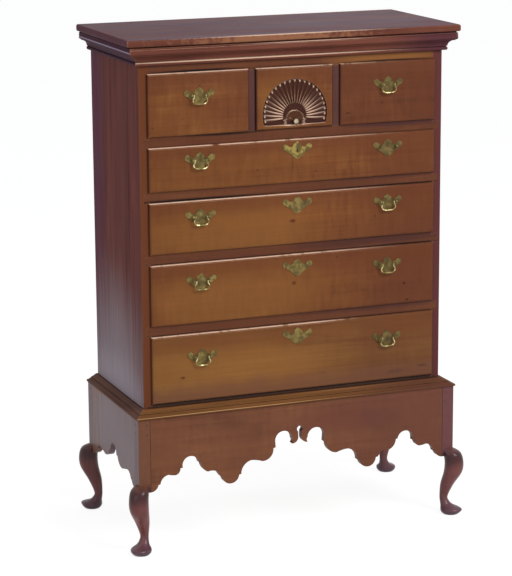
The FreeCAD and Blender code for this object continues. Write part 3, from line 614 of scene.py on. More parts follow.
WAIST = Wood("waist_wood", tone(92, 58, 34), tone(126, 84, 50), tone(154, 110, 68), wear_and_highlight=0.2,
             wear_and_highlight_tone=tone(206, 162, 104), wear_and_highlight_reach=0.003, curl=0.05, grime_and_shade_reach=0.02,
             specular=0.006, coat=0.0, flank=0.7, flank_tone=tone(84, 50, 54), streak=1.6)
APRON = Wood("apron_wood", tone(92, 52, 38), tone(119, 74, 50), tone(138, 88, 60), wear_and_highlight=0.3,
             blotch=1.1, curl=0.5)
LEG = LegWood("leg_wood", tone(64, 34, 38), tone(118, 68, 64), tone(160, 104, 92), Grain.Z,
              wear_and_highlight=0.25, curl=0.1, blotch=1.2, roughness=0.32, coat=0.35, specular=0.05)
PEG = Wood("peg_wood", tone(80, 52, 42), tone(98, 66, 52), tone(112, 78, 60), Grain.Y, wear_and_highlight=0.0)
PINE = Wood("case_pine", tone(132, 92, 54), tone(166, 126, 82), tone(188, 152, 106), wear_and_highlight=0.2,
            curl=0.04, grime_and_shade=0.6, roughness=0.62, coat=0.0, specular=0.15)


# ---------------------------------------------------------------- mesh helpers
def add_piece(name: str, body: str, mesh: Mesh, finish: bpy.types.Material,
              nodes: Sequence[str], sharp: float = CRISP, bevel: float = 0.0) -> None:
    """Makes a scene piece from a mesh.

    Args:
        name: name of the piece.
        body: CAD body that it rides on.
        mesh: its shape in the row frame, which is freed.
        finish: its material.
        nodes: CAD nodes that it stands for.
        sharp: edges over this many degrees stay crisp.
        bevel: width of a small bevel on those edges, or 0.
    """
    bmesh.ops.recalc_face_normals(mesh, faces=mesh.faces)
    for face in mesh.faces:
        face.smooth = True
    for edge in mesh.edges:
        edge.smooth = len(edge.link_faces) == 2 and edge.calc_face_angle() < math.radians(sharp)
    piece = link_mesh(name, mesh, finish)
    if bevel:
        add_bevel(piece, bevel, sharp)
    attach(piece, body)
    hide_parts(*nodes)
    log.info("%s rides on %s in %s", name, body, finish.name)


def link_mesh(name: str, mesh: Mesh, material: bpy.types.Material) -> bpy.types.Object:
    """Puts a mesh into the scene.

    Args:
        name: name of the object and its data.
        mesh: the shape, which is freed.
        material: what it is made of.

    Returns:
        The new object.
    """
    data = bpy.data.meshes.new(name)
    mesh.to_mesh(data)
    mesh.free()
    data.materials.append(material)
    return link(bpy.data.objects.new(name, data))


def link(item: bpy.types.Object) -> bpy.types.Object:
    """Links an object to the scene and returns it."""
    bpy.context.scene.collection.objects.link(item)
    return item


def add_bevel(piece: bpy.types.Object, width: float, sharp: float = CRISP) -> None:
    """Rounds a piece's crisp edges, as years of handling do.

    Args:
        piece: the piece.
        width: width of the rounding.
        sharp: edges over this many degrees are rounded.
    """
    weld = piece.modifiers.new("weld", "WELD")
    weld.merge_threshold = TINY
    bevel = piece.modifiers.new("soft_edges", "BEVEL")
    bevel.width = width
    bevel.segments = 2
    bevel.limit_method = "ANGLE"
    bevel.angle_limit = math.radians(sharp)
    bevel.use_clamp_overlap = True
    bevel.harden_normals = True


def dress(node: str, wood: Union[Wood, Iron], bevel: float) -> None:
    """Gives a CAD node a finish and a small bevel.

    Args:
        node: name of the node.
        wood: its finish.
        bevel: width of the bevel.
    """
    shown = bpy.data.objects[node]
    shown.data.materials.clear()
    shown.data.materials.append(wood.material())
    add_bevel(shown, bevel)
    log.info("%s keeps its solid in %s", node, wood.name)


def skin(mesh: Mesh, rings: Sequence[Sequence[Vector]],
         caps: bool = True) -> list[list[bmesh.types.BMVert]]:
    """Adds quads between closed rings of as many points each.

    Args:
        mesh: mesh to add to.
        rings: the rings in order.
        caps: whether the first and last rings are filled.

    Returns:
        The vertices of each ring.
    """
    rows = [[mesh.verts.new(point) for point in ring] for ring in rings]
    count = len(rows[0])
    for low, high in zip(rows, rows[1:]):
        for index in range(count):
            after = (index + 1) % count
            mesh.faces.new((low[index], low[after], high[after], high[index]))
    if caps:
        mesh.faces.new(rows[0][::-1])
        mesh.faces.new(rows[-1])
    return rows


def fill(mesh: Mesh, loops: Sequence[Sequence[bmesh.types.BMVert]]) -> None:
    """Fills the flat between an outer and an inner loop.

    Args:
        mesh: mesh that holds both.
        loops: the loops' vertices in order.
    """
    border = [mesh.edges.get(pair) or mesh.edges.new(pair)
              for loop in loops for pair in zip(loop, loop[1:] + loop[:1])]
    bmesh.ops.triangle_fill(mesh, edges=border, use_beauty=True, use_dissolve=False)


def circle(count: int, radius: float, centre: Vector, first: Vector, second: Vector) -> list[Vector]:
    """Points round a circle in the plane of two unit vectors."""
    angles = [2 * math.pi * index / count for index in range(count)]
    return [centre + (first * math.cos(one) + second * math.sin(one)) * radius for one in angles]


def sweep(x: float, z: float, radius: float, start: float, turn: float, count: int) -> list[Pair]:
    """Points along a flat arc round (x, z), with its angles in degrees."""
    angles = [math.radians(start + turn * index / count) for index in range(count + 1)]
    return [(x + radius * math.cos(one), z + radius * math.sin(one)) for one in angles]


def turned(mesh: Mesh, profile: Sequence[Pair], at: Vector, out: Vector, count: int) -> None:
    """Adds a turned form.

    Args:
        mesh: mesh to add to.
        profile: (radius, distance along out) pairs from its foot to its tip.
        at: where its distances start.
        out: unit vector along its axis.
        count: number of its sides.
    """
    first = out.orthogonal().normalized()
    second = out.cross(first)
    skin(mesh, [circle(count, max(radius, 1e-5), at + out * proud, first, second)
                for radius, proud in profile])


def arc(start: Vector, via: Vector, end: Vector) -> list[Vector]:
    """Points on the circle through three points, one for each six degrees.

    Args:
        start: where it starts, which isn't among the points.
        via: a point that it passes.
        end: where it ends.

    Returns:
        The points after the start.
    """
    a, b = via - start, end - start
    normal = a.cross(b)
    centre = start + (normal.cross(a) * b.length_squared + b.cross(normal) * a.length_squared) \
        / (2 * normal.length_squared)
    axis = normal.normalized()
    arm = start - centre
    reach = end - centre
    turn = math.atan2(arm.cross(reach).dot(axis), arm.dot(reach)) % (2 * math.pi)
    count = max(2, math.ceil(turn / math.radians(6)))
    return [centre + Matrix.Rotation(turn * index / count, 3, axis) @ arm
            for index in range(1, count + 1)]


def trace(pattern: Sequence[Any], place: Callable[[Pair], Vector]) -> list[Vector]:
    """Points along a pattern of lines and arcs.

    Args:
        pattern: its start, then ends of lines or (middle, end) of arcs.
        place: makes a point of one of its pairs.

    Returns:
        The points.
    """
    points = [place(pattern[0])]
    for step in pattern[1:]:
        if isinstance(step[0], tuple):
            points += arc(points[-1], place(step[0]), place(step[1]))
        else:
            points.append(place(step))
    return points


def smooth_through(rows: Sequence[Sequence[float]], steps: int) -> list[list[float]]:
    """Rows of values on a Catmull-Rom curve.

    Args:
        rows: the rows that it passes through.
        steps: how many rows are made from each one to the next.

    Returns:
        The rows on the curve.
    """
    padded = [rows[0], *rows, rows[-1]]
    made = []
    for before, first, second, after in zip(padded, padded[1:], padded[2:], padded[3:]):
        for index in range(steps):
            t = index / steps
            made.append([0.5 * (2 * b + (c - a) * t + (2 * a - 5 * b + 4 * c - d) * t ** 2
                                + (3 * b - a - 3 * c + d) * t ** 3)
                         for a, b, c, d in zip(before, first, second, after)])
    return made + [list(rows[-1])]


def plank(mesh: Mesh, outline: Sequence[Vector], depth: Vector) -> None:
    """Adds a board with a flat outline, drawn along a depth vector."""
    skin(mesh, [outline, [point + depth for point in outline]])


# ---------------------------------------------------------------- the frame on legs
@dataclass
class LowerFrame:
    """Frame on four cabriole legs, with scalloped aprons, pegged joints and a waist moulding.

    foot and knee hold a leg's sections as (height, radius, offset to the corner). The scallops are
    (distance from the middle, height over the posts' lower ends) from the post to the crown.
    """

    half_width: float = 0.4885
    half_depth: float = 0.2345
    top: float = 0.393
    post_bottom: float = 0.180
    post_side: float = 0.036
    post_relief: float = 0.017
    board: float = 0.020
    leg_facets: int = 48
    leg_fit: float = 0.985
    toe: float = 0.006
    toe_height: float = 0.0155
    toe_spread: float = 0.009
    peg_radius: float = 0.0042
    peg_drops: Pair = (0.017, 0.044)
    peg_inset: float = 0.026
    peg_proud: float = 0.0004
    peg_sunk: float = 0.006
    peg_facets: int = 14
    leg_bevel: float = 0.0009
    apron_bevel: float = 0.0008
    apron_crisp: float = 50.0
    inner_bevel: float = 0.0006
    case_gap: float = 0.0005
    body: str = "lower_frame"
    foot: tuple[Triple, ...] = (
        (0.0, 0.0215, -0.005), (0.0006, 0.0232, -0.005), (0.0055, 0.028, -0.005))
    knee: tuple[Triple, ...] = (
        (0.0090, 0.0298, -0.005), (0.014, 0.0305, -0.005), (0.0185, 0.0280, -0.0075),
        (0.026, 0.019, -0.017), (0.036, 0.0142, -0.0235), (0.052, 0.0126, -0.0267),
        (0.090, 0.0203, -0.0165), (0.130, 0.0276, 0.0016), (0.163, 0.0284, 0.0046),
        (0.190, 0.026, -0.0035), (0.204, 0.015, -0.024))
    front_scallops: tuple[Any, ...] = (
        (.4525, .0), ((.4385, .006), (.431, .019)), (.425, .0205), ((.4185, .036), (.401, .0455)),
        ((.390, .043), (.379, .042)), ((.3695, .0475), (.365, .0605)), (.3575, .0615),
        ((.3335, .093), (.3095, .072)), (.3035, .0705), ((.297, .052), (.282, .041)),
        ((.268, .0425), (.256, .039)), (.246, .024), (.2395, .023),
        ((.2135, -.0025), (.1875, .021)), (.181, .022), ((.172, .047), (.150, .0595)),
        ((.1335, .0576), (.116, .0525)), ((.091, .062), (.082, .087)), (.075, .089),
        (.0764, .109), ((.0502, .135), (.024, .109)), ((.0214, .101), (.0246, .0945)),
        ((.011, .0985), (.005, .113)), (.005, .12852))
    front_crown: tuple[Pair, Pair] = ((.0, .145), (-.005, .12852))
    side_scallops: tuple[Any, ...] = (
        (.1985, .0), ((.179, .008), (.164, .022)), (.158, .0235), ((.148, .0365), (.128, .0415)),
        ((.104, .0365), (.082, .031)), ((.052, .038), (.038, .056)), (.028, .057))
    side_crown: tuple[Pair, Pair] = ((.0, .084), (-.028, .057))

    def build(self) -> None:
        """Makes every piece of the frame."""
        for side, hand in HANDS:
            for front, end in ((-1, "front"), (1, "back")):
                self.leg(side, front, f"{end}_{hand}_leg")
            self.side_apron(side, hand)
        self.front_apron()
        self.pegs()
        # Painted shade on the inner face of the back apron.
        inside = Patch((0.0, self.half_depth - 1.5 * self.board, 0.0), (0.0, 1.5 * self.board, 0.0),
                       tone(50, 35, 31), 0.9, 0.05)
        dress("back_apron", replace(APRON, name="back_apron_wood", seed=4.0, roughness=0.55, coat=0.0,
                                    specular=0.02, patches=(inside,)), self.inner_bevel)
        dress("case_bearers", replace(PINE, name="bearer_pine", seed=2.0), self.inner_bevel)
        self.moulding()

    def leg(self, side: int, front: int, node: str) -> None:
        """Carves one leg with its post: round sections on a smooth curve along the diagonal.

        Args:
            side: -1 for the left, 1 for the right.
            front: -1 for the front, 1 for the back.
            node: CAD node that it stands for.
        """
        mesh = bmesh.new()
        across, along = RIGHT * side, BACK * front
        outward = (across + along).normalized()
        corner = across * self.half_width + along * self.half_depth
        rings = []
        for height, radius, offset in [*self.foot, *smooth_through(self.knee, 7)]:
            centre = corner + (across + along) * (offset * math.sqrt(0.5)) + UP * height
            ring = circle(self.leg_facets, radius * self.leg_fit, centre, RIGHT, BACK)
            toe = self.toe * math.exp(-((height - self.toe_height) / self.toe_spread) ** 2)
            for point in ring:
                share = max(0.0, (point - centre).dot(outward) / radius)
                point += outward * (toe * share ** 5)
            rings.append(ring)
        skin(mesh, rings)
        self.post(mesh, across, along)
        finish = replace(LEG, name=node + "_wood", seed=side * 1.3 + front * 0.7,
                         joint=self.post_bottom, seam=side * (self.half_width - self.post_side),
                         post_tone=tone(122, 80, 60) if side < 0 else tone(114, 74, 74))
        add_piece(node + "_carved", self.body, mesh, finish.material(), [node],
                  bevel=self.leg_bevel)

    def post(self, mesh: Mesh, across: Vector, along: Vector) -> None:
        """Adds a leg's square post, with its inner corner relieved below.

        Args:
            mesh: mesh to add to.
            across: unit vector to the post's side of the frame.
            along: unit vector to its front or back.
        """
        near = (across * (self.half_width - self.post_side)
                + along * (self.half_depth - self.post_side) + UP * self.post_bottom)
        rise = UP * (self.top - self.post_bottom)
        outer = [near + edge * self.post_side for edge in (across, along, across + along)]
        corners = outer + [near + edge * self.post_relief for edge in (across, along, UP)]
        corners += [corner + rise for corner in (near, *outer)]
        hull = bmesh.ops.convex_hull(mesh, input=[mesh.verts.new(corner) for corner in corners])
        edges = [item for item in hull["geom"] if isinstance(item, bmesh.types.BMEdge)]
        bmesh.ops.dissolve_limit(mesh, angle_limit=0.01, edges=edges, verts=[])

    def scallops(self, pattern: Sequence[Any], crown: Any, across: Vector,
                 base: Vector) -> list[Vector]:
        """Closed outline of an apron.

        Args:
            pattern: steps from the post to the middle, as ends of lines or middles and ends of arcs.
            crown: the arc over the middle.
            across: unit vector along the board, to the side that the pattern starts on.
            base: foot of the board's middle line, at the posts' lower ends.

        Returns:
            The outline's points.
        """
        def at(pair: Pair) -> Vector:
            """A pattern point on the board."""
            return base + across * pair[0] + UP * pair[1]
        half = trace(pattern, at)
        other = [point - across * (2 * (point - base).dot(across)) for point in reversed(half[:-1])]
        points = half + arc(half[-1], at(crown[0]), at(crown[1])) + other
        rise = UP * (self.top - self.post_bottom)
        return points + [points[-1] + rise, points[0] + rise]

    def saw_apron(self, name: str, outline: Sequence[Vector], depth: Vector, finish: Wood) -> None:
        """Saws an apron from a board.

        Args:
            name: CAD node that it stands for.
            outline: its outline on the board's outer face.
            depth: vector to the inner face.
            finish: its wood.
        """
        mesh = bmesh.new()
        plank(mesh, outline, depth)
        add_piece(name + "_sawn", self.body, mesh, replace(finish, name=name + "_wood").material(),
                  [name], self.apron_crisp, self.apron_bevel)

    def front_apron(self) -> None:
        """Saws the front apron, redder to the right, with painted shade under the moulding."""
        shade = (mark(0.5, 0.3, 0.5, 0.0, tone(102, 60, 48), 0.7, 0.8),
                 # Painted shade under the waist moulding.
                 mark(0.12, 0.33, 0.2, 0.05, tone(104, 58, 50), 0.4, 1.2))
        outline = self.scallops(self.front_scallops, self.front_crown, RIGHT,
                                Vector((0, -self.half_depth, self.post_bottom)))
        self.saw_apron("front_apron", outline, BACK * self.board,
                       replace(APRON, seed=1.0, patches=shade))

    def side_apron(self, side: int, hand: str) -> None:
        """Saws one side apron, with bloom and a painted sheen on its varnish.

        Args:
            side: -1 for the left, 1 for the right.
            hand: the side's name.
        """
        # Grey bloom with a painted sheen, strong on the left side and faint on the right.
        bloom_and_sheen = Patch((side * self.half_width, -0.05, 0.30), (0.0, 0.34, 0.2), tone(120, 104, 112),
                      0.8 if side < 0 else 0.25, 1.3, (1.0, 24.0, 1.0))
        outline = self.scallops(self.side_scallops, self.side_crown, BACK,
                                Vector((side * self.half_width, 0, self.post_bottom)))
        self.saw_apron(hand + "_apron", outline, RIGHT * (-side * self.board),
                       replace(APRON, grain=Grain.Y, seed=2.0 + side, patches=(bloom_and_sheen,)))

    def pegs(self) -> None:
        """Drives the sixteen round-headed pegs."""
        mesh = bmesh.new()
        profile = ((self.peg_radius, -self.peg_sunk), (self.peg_radius, 0.0),
                   (self.peg_radius * 0.7, self.peg_proud * 0.8), (0.0, self.peg_proud))
        for across in (-RIGHT, RIGHT):
            for along in (-BACK, BACK):
                corner = across * self.half_width + along * self.half_depth + UP * self.top
                for drop in self.peg_drops:
                    for out, back in ((along, across), (across, along)):
                        turned(mesh, profile, corner - back * self.peg_inset - UP * drop, out,
                               self.peg_facets)
        add_piece("joint_pegs_driven", self.body, mesh, PEG.material(), ["joint_pegs"])

    def moulding(self) -> None:
        """Runs the waist moulding: a fillet below and a hollow above it."""
        low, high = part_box("waist_moulding_front")
        left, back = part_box("left_side")
        height = high.z - low.z
        steps = ((0.0, 0.0), (0.985, 0.0), ((1.0, 0.0008), (1.0, 0.0016)), (1.0, 0.0048),
                 ((0.997, 0.0058), (0.985, 0.006)), (0.92, 0.006), ((0.76, 0.0078), (0.64, 0.0108)),
                 (0.585, 0.0108), (0.57, 0.0122), (0.60, 0.0128),
                 ((0.40, 0.0155), (0.2, height - 0.001)),
                 ((0.17, height - 0.0002), (0.12, height)), (0.0, height))
        inner, line = self.case_gap - left.x, left.y - self.case_gap
        run = MouldingRun(steps, half=inner, front_line=line, side_width=high.x - inner,
                          front_width=line - low.y, back_line=back.y, foot=low.z)
        # On the front length: a pale line on the fillet's edge, wear and a painted highlight; painted
        # shade in the step above it and along its foot; and a darker right end.
        lines = (Patch((-0.25, low.y, low.z + 0.0050), (0.55, 0.010, 0.0011), tone(206, 164, 116),
                       0.8, 0.5),
                 mark(0.0, low.z + 0.0112, 0.0, 0.0012, tone(58, 34, 20), 0.25, 0.8),
                 mark(0.0, low.z + 0.0005, 0.0, 0.0030, tone(70, 40, 26), 0.6, 0.3),
                 mark(0.52, low.z, 0.42, 0.0, tone(94, 58, 48), 0.8, 0.6))
        # The returns are a darker copy of the waist moulding's wood: painted shade.
        returned = replace(WAIST, dark=tone(80, 54, 48), body=tone(110, 78, 66),
                           light=tone(136, 100, 80), flank=0.0, wear_and_highlight=0.0)
        run.build("waist_moulding", self.body, replace(WAIST, patches=lines), returned)


@dataclass
class MouldingRun:
    """A moulding along the front with two mitred returns, from a profile of width shares."""

    steps: Sequence[Any]
    half: float
    front_line: float
    side_width: float
    front_width: float
    back_line: float
    foot: float
    crisp: float = 24.0

    def build(self, name: str, body: str, wood: Wood, returned: Wood) -> None:
        """Makes the front length and both returns.

        Args:
            name: start of the CAD nodes' names.
            body: body that they ride on.
            wood: finish of the front length.
            returned: finish of the returns.
        """
        profile = trace(self.steps, lambda pair: RIGHT * (pair[0] * self.front_width) + BACK * pair[1])
        ends = []
        for side, _ in HANDS:
            ends.append([Vector((side * (self.half + x / self.front_width * self.side_width),
                                 self.front_line - x, self.foot + height))
                         for x, height, _ in profile])
        self.run(name, "front", body, ends, replace(wood, seed=0.5))
        for (side, hand), near in zip(HANDS, ends):
            far = [Vector((point.x, self.back_line, point.z)) for point in near]
            self.run(name, hand, body, [near, far], replace(returned, grain=Grain.Y, seed=1.4 * side))

    def run(self, name: str, part: str, body: str, ends: Sequence[Sequence[Vector]],
            wood: Wood) -> None:
        """Makes one length.

        Args:
            name: start of the CAD node's name.
            part: end of that name.
            body: body that it rides on.
            ends: its two ends.
            wood: its finish.
        """
        mesh = bmesh.new()
        skin(mesh, ends)
        finish = replace(wood, name=f"{name}_{part}_wood").material()
        add_piece(f"{name}_{part}_run", body, mesh, finish, [f"{name}_{part}"],
                  self.crisp)


# ---------------------------------------------------------------- the upper case
# Near-black of the painted shadow in the gaps round the drawers.
GAP_SHADE = tone(14, 6, 5)
# By rail: a drawer, then the middle, half width, half height and strength of the painted shadow line
# in the gap over it.
GAP_SHADOW_LINES: dict[str, tuple[tuple[Any, ...], ...]] = {
    "top_rail": (("top_left", -0.285, 0.17, 0.0064, 1.0), ("fan", 0.0, 0.13, 0.00416, 0.6),
                 ("top_right", 0.29, 0.17, 0.00416, 0.9)),
    "drawer_blades": (("first_long", 0.0, 0.0, 0.00256, 0.3),
                      ("second_long", -0.30, 0.34, 0.00736, 1.0),
                      ("second_long", 0.30, 0.40, 0.0048, 0.9),
                      ("third_long", -0.1, 0.0, 0.00352, 0.6),
                      ("third_long", 0.34, 0.16, 0.00544, 0.9),
                      ("fourth_long", 0.0, 0.0, 0.00384, 0.6))}
# By rail: a drawer, then the middle, half sizes, tone and strength of the shade under it.
SHADES: dict[str, tuple[tuple[Any, ...], ...]] = {
    "drawer_blades": (("top_left", -0.21, 0.16, 0.0090, GAP_SHADE, 0.95),
                      ("top_right", 0.32, 0.22, 0.0180, tone(62, 34, 38), 0.75),
                      ("first_long", 0.30, 0.34, 0.0130, tone(70, 38, 36), 0.6),
                      ("second_long", 0.26, 0.36, 0.0330, tone(66, 36, 34), 0.75),
                      ("third_long", 0.30, 0.36, 0.0160, tone(66, 38, 38), 0.6))}


@dataclass
class UpperCase:
    """The case: sides, top, rails, back and the runners inside it, with its cornice."""

    body: str = "upper_case"
    top_round: float = 0.005
    edge_of_side: float = 0.005
    bead: float = 0.0125
    fascia: float = 0.031
    quirk: float = 0.003
    side_bevel: float = 0.0007
    rail_bevel: float = 0.0005
    inner_bevel: float = 0.0006
    top_crisp: float = 50.0

    def build(self) -> None:
        """Makes or dresses every piece of the case."""
        for side, node, seed in ((-1, "left_side", 0.3), (1, "right_side", 5.3)):
            dress(node, replace(STILE, name=node + "_wood", seed=seed,
                                patches=self.side_patches(side, node)), self.side_bevel)
        gilt = mark(0.28, 1.36, 0.2, 0.0, tone(138, 90, 46), 0.75, 0.6)
        # A painted shadow line on the front rail under the bottom drawer.
        sill = mark(0.0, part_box("fourth_long_drawer_front")[0].z, 0.0, 0.0055, GAP_SHADE, 0.95, 0.3)
        rails = (("drawer_blades", "drawer_blades_wood", 2.2, RAIL, self.painted_gap_shade("drawer_blades")),
                 ("top_rail", "top_rail_wood", 3.1, RAIL, (gilt, *self.painted_gap_shade("top_rail"))),
                 ("front_rail", "front_rail_wood", 1.0, SILL, (sill,)),
                 ("top_row_dividers", "divider_wood", 6.0, DIVIDER, ()))
        for node, name, seed, wood, patches in rails:
            dress(node, replace(wood, name=name, seed=seed, patches=patches), self.rail_bevel)
        pines = (("back_boards", Grain.X, 1.0), ("bottom_boards", Grain.X, 2.0),
                 ("drawer_runners", Grain.Y, 3.0), ("top_row_runners", Grain.Y, 4.0))
        for node, grain, seed in pines:
            pine = replace(PINE, name=node + "_pine", grain=grain, seed=seed)
            dress(node, pine, self.inner_bevel)
        self.top_board()
        self.cornice()

    def painted_gap_shade(self, rail: str) -> tuple[Patch, ...]:
        """Paints shade on a rail beside the drawers, which are worn and sunk on their runners: a
        shadow line in the gap over each and shade under it.

        Args:
            rail: node of the rail.

        Returns:
            Painted shadow lines over drawers, and bands of painted shade under drawers.
        """
        over = [mark(x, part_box(drawer + "_drawer_front")[1].z + 0.001, half, tall, GAP_SHADE, share, 0.25)
                for drawer, x, half, tall, share in GAP_SHADOW_LINES[rail]]
        under = [mark(x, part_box(drawer + "_drawer_front")[0].z, half, tall, shade, share, 0.2)
                 for drawer, x, half, tall, shade, share in SHADES.get(rail, ())]
        return (*over, *under)

    def side_patches(self, side: int, node: str) -> tuple[Patch, ...]:
        """Ages a side: grey bloom with a painted reflection low on it, a blue cast at its back and the
        tone of its front edge.

        Args:
            side: -1 for the left, 1 for the right.
            node: the side's node.

        Returns:
            The patches.
        """
        low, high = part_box(node)
        middle = (low.x + high.x) / 2
        edge = tone(106, 61, 40) if side < 0 else tone(94, 53, 52)
        lit = 1.0 if side < 0 else 0.3
        upright = (1.0, 30.0, 1.0)
        # The two grey patches low on the side are bloom with a painted reflection of the floor; they
        # and the cast are stronger on the left side.
        return (Patch((middle, high.y, 1.2), (0.0, 0.13, 0.9), tone(92, 46, 76), 0.6 * lit, 0.4),
                Patch((middle, 0.06, low.z), (0.0, 0.36, 0.42), tone(148, 134, 140), 0.88 * lit, 0.5,
                      upright),
                Patch((middle, 0.04, low.z), (0.0, 0.34, 0.15), tone(172, 160, 168), 0.7 * lit, 0.9,
                      upright),
                Patch((middle, low.y, low.z), (0.0, self.edge_of_side, 0.0), edge, 1.0, 0.1))

    def top_board(self) -> None:
        """Planes the top board, with its show edges rounded over."""
        low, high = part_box("top_board")
        mesh = bmesh.new()
        bmesh.ops.create_cube(mesh, size=1.0)
        for vert in mesh.verts:
            share = vert.co + Vector((0.5, 0.5, 0.5))
            vert.co = Vector([a + (b - a) * s for a, b, s in zip(low, high, share)])
        rounded = [edge for edge in mesh.edges
                   if abs(edge.verts[0].co.z - edge.verts[1].co.z) < TINY
                   and not all(vert.co.y > high.y - TINY for vert in edge.verts)]
        bmesh.ops.bevel(mesh, geom=rounded, offset=self.top_round, offset_type="OFFSET", segments=5,
                        profile=0.5, affect="EDGES", clamp_overlap=True)
        # Grey bloom with a painted sheen on the top, a worn front edge, and a painted highlight along
        # the front's upper arris.
        worn_and_lit = (Patch((0.16, -0.03, high.z), (0.34, 0.16, 0.01), tone(120, 110, 118), 0.3, 1.6),
                Patch((-0.16, low.y + 0.016, high.z), (0.42, 0.026, 0.006), tone(142, 130, 136),
                      0.45, 1.2),
                Patch((-0.08, low.y, low.z), (0.32, 0.012, 0.03), tone(176, 124, 88), 0.42, 1.6),
                Patch((-0.02, low.y, high.z - 0.0015), (0.36, 0.006, 0.0030), tone(228, 196, 172),
                      0.7, 0.9))
        finish = replace(TOP, name="top_board_wood", patches=worn_and_lit).material()
        add_piece("top_board_planed", self.body, mesh, finish, ["top_board"],
                  self.top_crisp)

    def cornice(self) -> None:
        """Runs the cornice: bead, hollow, fillet, rounded nose and a quirk under the top."""
        low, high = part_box("cornice_front")
        left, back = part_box("left_side")
        projection = left.y - low.y
        height = high.z - low.z
        bead = self.bead / projection
        fascia = self.fascia / projection
        hollow = fascia * 0.93
        nose = height - self.quirk
        steps = ((0.0, 0.0), (bead * 0.75, 0.0), ((bead, 0.005), (bead * 0.75, 0.010)),
                 (bead * 0.72, 0.0112), (bead * 0.95, 0.0118),
                 ((bead * 1.2, 0.4 * height), (hollow, 0.029)), (hollow, 0.031), (fascia, 0.031),
                 ((0.985, 0.0335), (1.0, 0.039)), (0.999, 0.0455), (0.975, 0.046), (0.975, 0.0468),
                 (0.992, 0.0474), ((0.998, 0.0492), (0.985, nose)), (0.9, nose), (0.9, height),
                 (0.0, height))
        run = MouldingRun(steps, half=-left.x, front_line=left.y, side_width=projection,
                          front_width=projection, back_line=back.y, foot=low.z)
        # A painted shadow in the quirk under the top board.
        under_top = mark(0.0, high.z, 0.0, 0.0034, tone(14, 6, 6), 0.95, 0.1)
        # On the front length: a darker right end, a painted highlight along the bead, a pale line high
        # on the nose, and the quirk's painted shadow.
        lines = (mark(0.52, low.z, 0.26, 0.0, tone(76, 44, 54), 0.8, 0.6),
                 Patch((-0.14, left.y - 0.010, low.z + 0.0086), (0.52, 0.03, 0.0030),
                       tone(232, 198, 170), 0.95, 0.3),
                 Patch((0.04, low.y, high.z - 0.0050), (0.22, 0.02, 0.0016), tone(222, 186, 164),
                       0.7, 0.5),
                 under_top)
        # A painted highlight along the return's arris.
        arris = mark(0.0, low.z + 0.0385, 0.0, 0.0022, tone(176, 160, 184), 0.85, 0.5)
        # The returns are a darker copy of the cornice's wood: painted shade.
        returned = replace(CORNICE, dark=tone(56, 32, 44), body=tone(80, 46, 60),
                           light=tone(100, 60, 76), flank=0.0, rim=0.0, wear_and_highlight=0.0,
                           patches=(arris, under_top))
        run.build("cornice", self.body, replace(CORNICE, patches=lines), returned)


